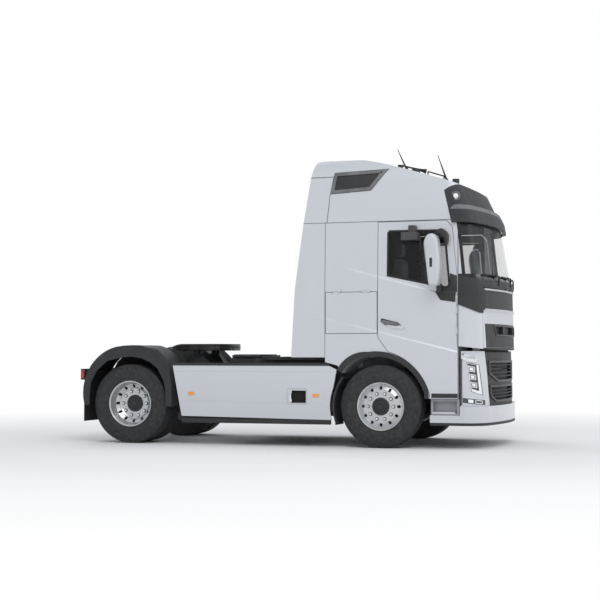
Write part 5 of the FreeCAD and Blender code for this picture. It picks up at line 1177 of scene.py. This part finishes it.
class TRUCK_OT_front(bpy.types.Operator):
    """Models the lamp units, grille frames, nose seal, lowest steps and brow lamps"""
    bl_idname = "truck.front"
    bl_label = "Front lamps and grilles"

    BAR = [(2.614, 1.068), (2.638, 1.062), (2.677, 0.692), (2.560, 0.736), (2.558, 0.768),
           (2.644, 0.736)]
    # Name, outline, finish, material slot, thickness, width if a frame, and what carries it
    LAMP_PARTS = (
        ("lamp_cover", [(2.434, 1.200), (2.600, 1.168), (2.640, 1.094), (2.504, 1.108),
                        (2.434, 1.150)], "chrome", "chrome", 0.012, None, "corner_panels"),
        ("lamp_rim", [(2.502, 1.094), (2.641, 1.065), (2.680, 0.687), (2.559, 0.733)],
         "chrome", "chrome", 0.008, 0.007, "headlamps"),
        ("fog_module", [(2.520, 0.592), (2.580, 0.584), (2.580, 0.626), (2.520, 0.634)],
         "white", "lens", 0.006, None, "headlamps"),
        ("fog_rim", [(2.600, 0.580), (2.680, 0.570), (2.680, 0.616), (2.600, 0.626)],
         "reflector", "lens", 0.006, 0.010, "headlamps"),
        ("corner_foot", [(2.434, 0.562), (2.446, 0.562), (2.446, 0.600), (2.446, 0.660),
                         (2.446, 1.150), (2.474, 1.205), (2.434, 1.205)],
         "flap", "dark_plastic", 0.003, None, "corner_panels"),
    )
    # Rear edge, front edge and foot of each square lamp
    MODULES = ((2.516, 2.600, 0.985), (2.531, 2.612, 0.885), (2.546, 2.624, 0.785))
    FRAMES = (
        ("grille_frame_high", "chassis", [(0.872, 1.120), (0.858, 0.945), (0.535, 0.843)],
         LOW_REACH, 0.0, 0.028),
        ("grille_frame_low", "chassis", [(0.845, 0.806), (0.797, 0.655), (0.613, 0.588)],
         LOW_REACH, 0.0, 0.026),
        ("upper_opening_frame", "lid", [(0.775, 1.574), (0.695, 1.437)],
         HIGH_REACH, HIGH_LEAN, 0.016),
    )
    # Name, body, left half, reach, lean, thickness, half width of the cuts and finish
    BACKINGS = (
        ("lower_mesh", "chassis", [(0.870, 1.125), (0.800, 0.585)], 2.745, 0.0, 0.004, 0.87,
         "mesh"),
        ("upper_mesh", "lid", [(0.790, 1.575), (0.700, 1.435)], 2.800, HIGH_LEAN, 0.004, 0.87,
         "mesh"),
        ("nose_seal", "chassis", [(0.99, 1.270), (0.99, 1.200)], 2.765, 0.0, 0.006, 0.99,
         "flap"),
    )
    LEDGE = [(2.052, 0.440), (2.366, 0.440), (2.352, 0.474), (2.066, 0.474)]
    STEP = [(2.060, 0.470), (2.392, 0.470), (2.392, 0.612), (2.060, 0.612)]
    BROW_PLACE = (2.372, 1.170, 3.205)
    BROW_RIM = [(0.034, 0.000), (0.060, 0.000), (0.060, 0.012), (0.052, 0.018), (0.040, 0.012),
                (0.034, 0.012)]
    BROW_LENS = [(0.0, 0.0), (0.036, 0.0), (0.036, 0.008), (0.028, 0.014), (0.0, 0.017)]

    def lamp_part(self, name, outline, finish, slot, thick, ring, node):
        """Presses a flat part onto the left corner and mirrors it."""
        piece = outline_piece(name, dense(outline, 0.03), BESIDE, 0, ring=ring)
        if ring is None:
            ends = [point[0] for point in outline]
            sliced(piece, 0, steps_between(min(ends), max(ends), 0.02))
        laid_on(piece, node, 1, thick)
        both(rounded(piece, 0.0015), name, CHASSIS, finish)

    def execute(self, context):
        self.lamp_part("lamp_bar", self.BAR, "white", "lens", 0.006, None, "headlamps")
        for number, (rear, front, low) in enumerate(self.MODULES):
            square = [(rear, low), (front, low - 0.012), (front, low + 0.058), (rear, low + 0.072)]
            self.lamp_part("module_rim_%d" % number, square, "reflector", "lens", 0.010, 0.012,
                           "headlamps")
            middle = [(rear + 0.020, low + 0.014), (front - 0.020, low + 0.006),
                      (front - 0.020, low + 0.044), (rear + 0.020, low + 0.054)]
            self.lamp_part("module_lens_%d" % number, middle, "white", "lens", 0.005, None,
                           "headlamps")
        for row in self.LAMP_PARTS:
            self.lamp_part(*row)
        for name, body, half, reach, lean, width in self.FRAMES:
            piece = nose_plate(name, half, reach, lean, 0.009, ring=width)
            fitted(rounded(piece, 0.003), body, "trim")
        for name, body, half, reach, lean, thick, cut_to, finish in self.BACKINGS:
            piece = nose_plate(name, half, reach, lean, thick, cut_to=cut_to)
            fitted(piece, body, finish)
        plate_pair("step_ledge", self.LEDGE, 1.120, 0.082, 0.008, CHASSIS, "case", 3)
        plate_pair("step_panel", self.STEP, 1.118, 0.010, 0.004, CHASSIS, "step")
        both(turned_piece("brow_lamp_rim", self.BROW_RIM, self.BROW_PLACE, 32), "brow_lamp_rim",
             CAB, "grey")
        both(turned_piece("brow_lamp", self.BROW_LENS, self.BROW_PLACE, 32, closed=False),
             "brow_lamp", CAB, "white")
        return {"FINISHED"}


class TRUCK_OT_wipers(bpy.types.Operator):
    """Adds the wipers and the slots in the panel below the windscreen"""
    bl_idname = "truck.wipers"
    bl_label = "Wipers"

    WIPERS = (-0.55, 0.15, 0.85)
    SLOTS = (-0.96, -0.84, -0.34, -0.22, 0.22, 0.34, 0.84, 0.96)
    SLOT_LEVELS = (2.084, 2.120)
    BLADE_LEVEL = 2.210

    def execute(self, context):
        parts = []
        for side in self.WIPERS:
            foot = Vector((nose_x(side, 2.10) + 0.010, side, 2.10))
            knee = Vector((nose_x(side, 2.20) + 0.012, side + 0.02, 2.205))
            tip = Vector((nose_x(side - 0.22, 2.21) + 0.004, side - 0.22, 2.214))
            hub = rod_piece("hub", foot - Vector((0.03, 0, 0)), foot + Vector((0.010, 0, 0)),
                            0.026, 20)
            parts.append(rounded(hub, 0.004))
            parts.append(rod_piece("arm", foot, knee, 0.014, 12, 0.011))
            parts.append(rod_piece("arm", knee, tip, 0.011, 12, 0.008))
            blade = [(nose_x(place, 2.205) - 0.012, place, self.BLADE_LEVEL)
                     for place in (side + 0.06 - 0.09 * number for number in range(7))]
            for one, other in zip(blade, blade[1:]):
                parts.append(rod_piece("blade", one, other, 0.010, 8))
        fitted(merged("wipers", parts), "cab", "flap")
        slots = []
        for side in self.SLOTS:
            for level in self.SLOT_LEVELS:
                outline = [(side - 0.048, level - 0.009), (side + 0.048, level - 0.009),
                           (side + 0.040, level + 0.009), (side - 0.040, level + 0.009)]
                slot = outline_piece("slot", dense(outline, 0.05), AHEAD, 0, plane="YZ")
                slots.append(rounded(laid_on(slot, "scuttle_panel", 0, 0.0025), 0.001))
        fitted(merged("scuttle_slots", slots), "cab", "mesh")
        return {"FINISHED"}


class TRUCK_OT_roof(bpy.types.Operator):
    """Adds the tapered aerials, their feet and the horn on the roof"""
    bl_idname = "truck.roof"
    bl_label = "Roof fittings"

    # Foot and tip of each aerial, along and up, and their place across
    AERIALS = (((1.681, 3.590), (1.558, 3.862)), ((2.208, 3.431), (2.090, 3.764)))
    AERIAL_SIDE = -0.930
    HORN = [(0.010, 0.0), (0.012, 0.16), (0.018, 0.25), (0.030, 0.31), (0.034, 0.315),
            (0.028, 0.312), (0.014, 0.26), (0.0, 0.25), (0.0, 0.0)]
    HORN_MIDDLE = Vector((1.84, -0.890, 3.592))
    ROOF_SLOPE = -0.27

    def execute(self, context):
        parts = []
        side = self.AERIAL_SIDE
        for foot, tip in self.AERIALS:
            parts.append(rod_piece("aerial", (foot[0], side, foot[1]), (tip[0], side, tip[1]),
                                   0.014, 12, 0.0035))
            base = rod_piece("foot", (foot[0] + 0.008, side, foot[1] - 0.050),
                             (foot[0] - 0.006, side, foot[1] + 0.030), 0.038, 20, 0.016)
            parts.append(rounded(base, 0.006, 3))
        horn = turned_piece("horn", self.HORN, (0, 0, 0), 24, closed=False)
        editing(horn)
        bpy.ops.transform.rotate(value=math.pi / 2, orient_axis="Z", center_override=(0, 0, 0))
        bpy.ops.transform.rotate(value=self.ROOF_SLOPE, orient_axis="Y",
                                 center_override=(0, 0, 0))
        middle = sum((vertex.co for vertex in bmesh.from_edit_mesh(horn.data).verts),
                     Vector()) / len(horn.data.vertices)
        bpy.ops.transform.translate(value=self.HORN_MIDDLE - middle)
        edited()
        fitted(merged("aerials_and_horn", parts + [horn]), "cab", "flap")
        return {"FINISHED"}


class TRUCK_OT_fenders(bpy.types.Operator):
    """Adds the rear mudguards' flanges and inner walls, the skirts' recess with painted shade at
    its back, and the skirts' backing
    """
    bl_idname = "truck.fenders"
    bl_label = "Rear mudguards and skirts"

    OUTER = [(-2.776, 0.505), (-2.768, 0.640), (-2.724, 0.838), (-2.630, 0.998),
             (-2.500, 1.128), (-2.320, 1.246), (-2.114, 1.290), (-1.880, 1.298),
             (-1.690, 1.262), (-1.570, 1.150), (-1.512, 1.000), (-1.497, 0.505)]
    INNER = [(-1.548, 0.505), (-1.562, 0.654), (-1.604, 0.845), (-1.692, 1.008),
             (-1.797, 1.090), (-1.929, 1.146), (-2.060, 1.166), (-2.193, 1.160),
             (-2.432, 1.110), (-2.591, 0.975), (-2.676, 0.814), (-2.704, 0.505)]
    WALL = [(-2.742, 0.700), (-2.712, 0.850), (-2.668, 0.990), (-2.612, 1.092),
            (-2.500, 1.196), (-2.314, 1.276), (-2.114, 1.296), (-1.885, 1.290),
            (-1.700, 1.250), (-1.590, 1.145), (-1.530, 1.000), (-1.520, 0.830),
            (-1.760, 0.830), (-1.880, 0.930), (-2.110, 0.985), (-2.340, 0.930),
            (-2.500, 0.700)]
    STAYS = ((-2.36, 1.16), (-2.11, 1.20), (-1.86, 1.20))
    RECESS = [(0.162, 0.566), (0.406, 0.566), (0.414, 0.574), (0.414, 0.742), (0.406, 0.750),
              (0.162, 0.750), (0.154, 0.742), (0.154, 0.574)]
    CATCH = [(0.158, 0.570), (0.200, 0.570), (0.208, 0.600), (0.196, 0.640), (0.196, 0.676),
             (0.208, 0.716), (0.200, 0.746), (0.158, 0.746)]
    BORDER = [(0.150, 0.548), (0.404, 0.548), (0.418, 0.562), (0.418, 0.748), (0.404, 0.762),
              (0.150, 0.762), (0.136, 0.748), (0.136, 0.562)]

    def execute(self, context):
        plate_pair("fender_flange", self.OUTER + self.INNER, 1.234, 0.0145, 0.004, CHASSIS,
                   "plastic")
        plate_pair("fender_wall", self.WALL, 0.534, 0.008, 0.002, CHASSIS, "flap")
        stays = [rod_piece("stay", (x, 0.430, z - 0.30), (x, 0.536, z - 0.10), 0.014, 12)
                 for x, z in self.STAYS]
        both(merged("fender_stays", stays), "fender_stays", CHASSIS, "frame")
        # Painted shade: a near-black panel at the back of the skirt's recess
        plate_pair("recess_shade", self.RECESS, 1.206, 0.008, 0.003, CHASSIS,
                   "hole")
        plate_pair("recess_catch", self.CATCH, 1.214, 0.022, 0.006, CHASSIS, "chrome",
                   3)
        backing = rounded_box("skirt_backing", (-1.400, 1.212, 0.322), (0.715, 1.222, 0.420),
                              0.003)
        both(backing, "skirt_backing", CHASSIS, "flap")
        plate_pair("filler_border", dense(self.BORDER, 0.08), 1.2425, 0.004, 0.0015, CHASSIS,
                   "case", ring=0.016)
        return {"FINISHED"}


class TRUCK_OT_coupling(bpy.types.Operator):
    """Models the coupling plate with its throat, ramps and turned-down edge"""
    bl_idname = "truck.coupling"
    bl_label = "Coupling plate"

    # Left half of the plate, along and across
    HALF = [(-1.040, 0.130), (-1.062, 0.270), (-1.130, 0.385), (-1.250, 0.440),
            (-1.460, 0.448), (-1.660, 0.430), (-1.850, 0.360), (-1.945, 0.270),
            (-1.950, 0.190), (-1.800, 0.085), (-1.640, 0.040), (-1.500, 0.034)]
    RAMPS = (-1.70, -1.78)
    RAMP_END = -1.86
    RAMP_TURN = 0.16

    def execute(self, context):
        line = self.HALF + [(x, -side) for x, side in reversed(self.HALF)]
        plate = outline_piece("coupling_top", line, 1.300, 0.043, plane="XY")
        sliced(plate, 0, self.RAMPS + (self.RAMP_END,))
        for place in self.RAMPS:
            editing(plate, "DESELECT")
            mesh = bmesh.from_edit_mesh(plate.data)
            for point in mesh.verts:
                point.select = point.co.x < place - 0.001
            mesh.select_flush(True)
            bmesh.update_edit_mesh(plate.data)
            bpy.ops.transform.rotate(value=self.RAMP_TURN, orient_axis="Y",
                                     center_override=(place, 0, 1.322))
            edited()
        rounded(plate, 0.006, 3, 0.5)
        rim = self.HALF[:7]
        inner = [(-1.460 + (x + 1.460) * 0.93, side * 0.93) for x, side in rim]
        edge = outline_piece("edge", rim + inner[::-1], 1.250, 0.055, plane="XY")
        other = mirrored(edge, "edge_other")
        front = box_piece("front_edge", (-1.066, -0.132, 1.250), (-1.040, 0.132, 1.305))
        lugs = part_of("fifth_wheel_plate", "lugs", [((0, 0, 1.302), (0, 0, 1))])
        ribs = [box_piece("rib", (-1.60, side - 0.012, 1.262), (-1.09, side + 0.012, 1.302))
                for side in (-0.20, 0.20)]
        edges = [rounded(piece, 0.004) for piece in (edge, other, front)]
        whole = merged("coupling_top", [plate] + edges + [lugs] + ribs)
        fitted(whole, "coupling_plate", "greased")
        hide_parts("fifth_wheel_plate")
        return {"FINISHED"}


class TRUCK_OT_deck(bpy.types.Operator):
    """Adds the walkway's bearers and rails, the rear tread plate and the cab's rear ribs"""
    bl_idname = "truck.deck"
    bl_label = "Deck and rear wall"

    TREAD = [(-0.975, -0.30), (-0.975, 0.30), (-0.900, 0.42), (-0.520, 0.42), (-0.490, 0.36),
             (-0.490, -0.36), (-0.520, -0.42), (-0.900, -0.42)]
    BEARER = [(-0.985, 0.990), (-0.985, 1.120), (-0.930, 1.164), (-0.480, 1.164),
              (-0.440, 1.140), (0.560, 1.132), (0.600, 1.090), (0.600, 0.990), (0.400, 1.010),
              (-0.800, 1.010)]
    RIBS = (-0.72, -0.36, 0.0, 0.36, 0.72)
    RIB_HALF = 0.055
    RIB_LOW, RIB_HIGH = 1.500, 2.700

    def execute(self, context):
        parts = [rounded_box("foot", (rear, side - 0.03, 0.985),
                             (rear + 0.06, side + 0.03, 1.165), 0.004)
                 for side in (-0.36, 0.36) for rear in (-0.93, -0.60)]
        tread = outline_piece("tread", self.TREAD, 1.160, 0.028, plane="XY")
        parts.append(rounded(tread, 0.005))
        for number in range(7):
            x = -0.93 + number * 0.065
            parts.append(rounded_box("cleat", (x - 0.008, -0.33, 1.188),
                                     (x + 0.008, 0.33, 1.198), 0.003))
        fitted(merged("rear_tread", parts), "chassis", "plate")
        rails = [rounded_box("edge", (-0.47, side - 0.014, 1.150), (0.59, side + 0.014, 1.166),
                             0.004)
                 for side in (-0.485, 0.485)]
        for number in range(13):
            x = -0.42 + number * 0.082
            rails.append(rounded_box("bar", (x - 0.007, -0.46, 1.150),
                                     (x + 0.007, 0.46, 1.158), 0.002))
        fitted(merged("deck_rails", rails), "chassis", "plate")
        plate_pair("deck_bearer", self.BEARER, 0.362, 0.022, 0.005, CHASSIS,
                   "frame", 3)
        ribs = []
        for side in self.RIBS:
            near_side, far_side = side - self.RIB_HALF, side + self.RIB_HALF
            outline = [(near_side, self.RIB_LOW), (far_side, self.RIB_LOW),
                       (far_side, self.RIB_HIGH), (near_side, self.RIB_HIGH)]
            rib = outline_piece("rib", dense(outline, 0.2), -0.6, 0, plane="YZ")
            ribs.append(rounded(laid_on(rib, "cab_shell", 0, 0.012, away=-1), 0.005, 3))
        fitted(merged("rear_wall_ribs", ribs), "cab", "paint")
        return {"FINISHED"}


class TRUCK_OT_interior(bpy.types.Operator):
    """Models the padded seats and bunk, the instruments and the gear on the dashboard"""
    bl_idname = "truck.interior"
    bl_label = "Interior"

    # Name, outline across and up, rear face, depth, voxel size and cap of the filling
    PADS = (
        ("seat_cushion", [
            (0.392, 1.822), (0.398, 1.890), (0.440, 1.900), (0.470, 1.878), (0.770, 1.878),
            (0.800, 1.900), (0.842, 1.890), (0.848, 1.822), (0.800, 1.800), (0.440, 1.800)],
         1.590, 0.320, 0.010, 0.022),
        ("seat_back", [
            (0.405, 1.900), (0.395, 2.150), (0.405, 2.340), (0.450, 2.440), (0.490, 2.462),
            (0.750, 2.462), (0.790, 2.440), (0.835, 2.340), (0.845, 2.150), (0.835, 1.900)],
         1.472, 0.092, 0.010, 0.022),
        ("headrest", [
            (0.515, 2.485), (0.500, 2.560), (0.520, 2.635), (0.560, 2.655), (0.680, 2.655),
            (0.720, 2.635), (0.740, 2.560), (0.725, 2.485)], 1.478, 0.080, 0.008, 0.014),
    )
    BINNACLE = [(2.140, 2.050), (2.128, 2.130), (2.150, 2.158), (2.300, 2.152), (2.330, 2.090),
                (2.330, 2.050)]
    # Name, two corners, rounding, segments, slot and finish
    BOXES = (
        ("instrument_screen", (2.122, 0.440, 2.066), (2.134, 0.800, 2.132), 0.004, 2,
         "interior_plastic", "screen"),
        ("centre_screen", (2.050, -0.150, 1.930), (2.070, 0.170, 2.080), 0.006, 2,
         "interior_plastic", "screen"),
        ("sensor_case", (2.640, -0.070, 2.760), (2.700, 0.070, 2.840), 0.018, 3,
         "dark_plastic", "plastic"),
    )

    def execute(self, context):
        for name, outline, place, depth, voxel, cap in self.PADS:
            pad = outline_piece(name, outline, place, depth, plane="YZ")
            puffed(rounded(pad, 0.012, 2), voxel, cap)
            for piece in both(pad, name, CAB, "cloth", 1.2):
                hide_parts("seat_cushions")
        mattress = box_piece("bunk_mattress", (0.735, -1.125, 1.822), (1.258, 1.125, 1.925))
        puffed(rounded(mattress, 0.020, 2), 0.018, 0.022)
        fitted(mattress, "cab", "cloth", 1.2)
        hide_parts("bunk")
        binnacle = outline_piece("instruments", self.BINNACLE, 0.400, 0.440)
        fitted(rounded(binnacle, 0.014, 3), "cab", "interior")
        for name, low, high, edge, segments, slot, finish in self.BOXES:
            piece = rounded(box_piece(name, low, high), edge, segments)
            fitted(piece, "cab", finish)
        return {"FINISHED"}


class TRUCK_OT_rear(bpy.types.Operator):
    """Models the rear lamps with their lenses"""
    bl_idname = "truck.rear"
    bl_label = "Rear lamps"

    # Name, near and far side, material slot and finish
    LENSES = (
        ("red_outer", 1.085, 1.186, "lamp_red", "red"),
        ("amber", 1.020, 1.080, "lamp_amber", "amber"),
        ("white", 0.965, 1.015, "lamp_amber", "white"),
        ("red_inner", 0.835, 0.960, "lamp_red", "red"),
    )

    def execute(self, context):
        housing = part_of("rear_lamps", "rear_lamp_housings", [((-2.853, 0, 0), (-1, 0, 0))])
        fitted(rounded(housing, 0.004), "chassis", "plastic")
        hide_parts("rear_lamps")
        for name, low, high, slot, finish in self.LENSES:
            lens = box_piece("lens", (-2.8595, low, 0.858), (-2.852, high, 0.992))
            editing(lens)
            bpy.ops.mesh.subdivide(number_cuts=4)
            edited()
            both(rounded(lens, 0.003, 3), "rear_lens_" + name, CHASSIS, finish)
        lens = box_piece("lens", (-2.850, 1.188, 0.870), (-2.806, 1.1945, 0.980))
        both(rounded(lens, 0.003, 3), "rear_side_lens", CHASSIS, "red")
        return {"FINISHED"}


STEPS = (
    TRUCK_OT_finishes,
    TRUCK_OT_stage,
    TRUCK_OT_tyres,
    TRUCK_OT_wheels,
    TRUCK_OT_two_tone,
    TRUCK_OT_mirrors,
    TRUCK_OT_seals,
    TRUCK_OT_front,
    TRUCK_OT_wipers,
    TRUCK_OT_roof,
    TRUCK_OT_fenders,
    TRUCK_OT_coupling,
    TRUCK_OT_deck,
    TRUCK_OT_interior,
    TRUCK_OT_rear,
)


class TRUCK_PT_panel(bpy.types.Panel):
    """Lists the steps and the sizes"""
    bl_idname = "TRUCK_PT_panel"
    bl_label = "Tractor unit"
    bl_space_type = "VIEW_3D"
    bl_region_type = "UI"
    bl_category = "Tractor unit"

    def draw(self, context):
        for step in STEPS:
            self.layout.operator(step.bl_idname)
        for name in TruckSettings.__annotations__:
            self.layout.prop(context.scene.truck, name)


CLASSES = (TruckSettings,) + STEPS + (TRUCK_PT_panel,)


def register():
    for item in CLASSES:
        bpy.utils.register_class(item)
    bpy.types.Scene.truck = bpy.props.PointerProperty(type=TruckSettings)


def unregister():
    del bpy.types.Scene.truck
    for item in reversed(CLASSES):
        bpy.utils.unregister_class(item)


def main():
    register()
    for step in STEPS:
        group, name = step.bl_idname.split(".")
        getattr(getattr(bpy.ops, group), name)()


if __name__ == "__main__":
    main()
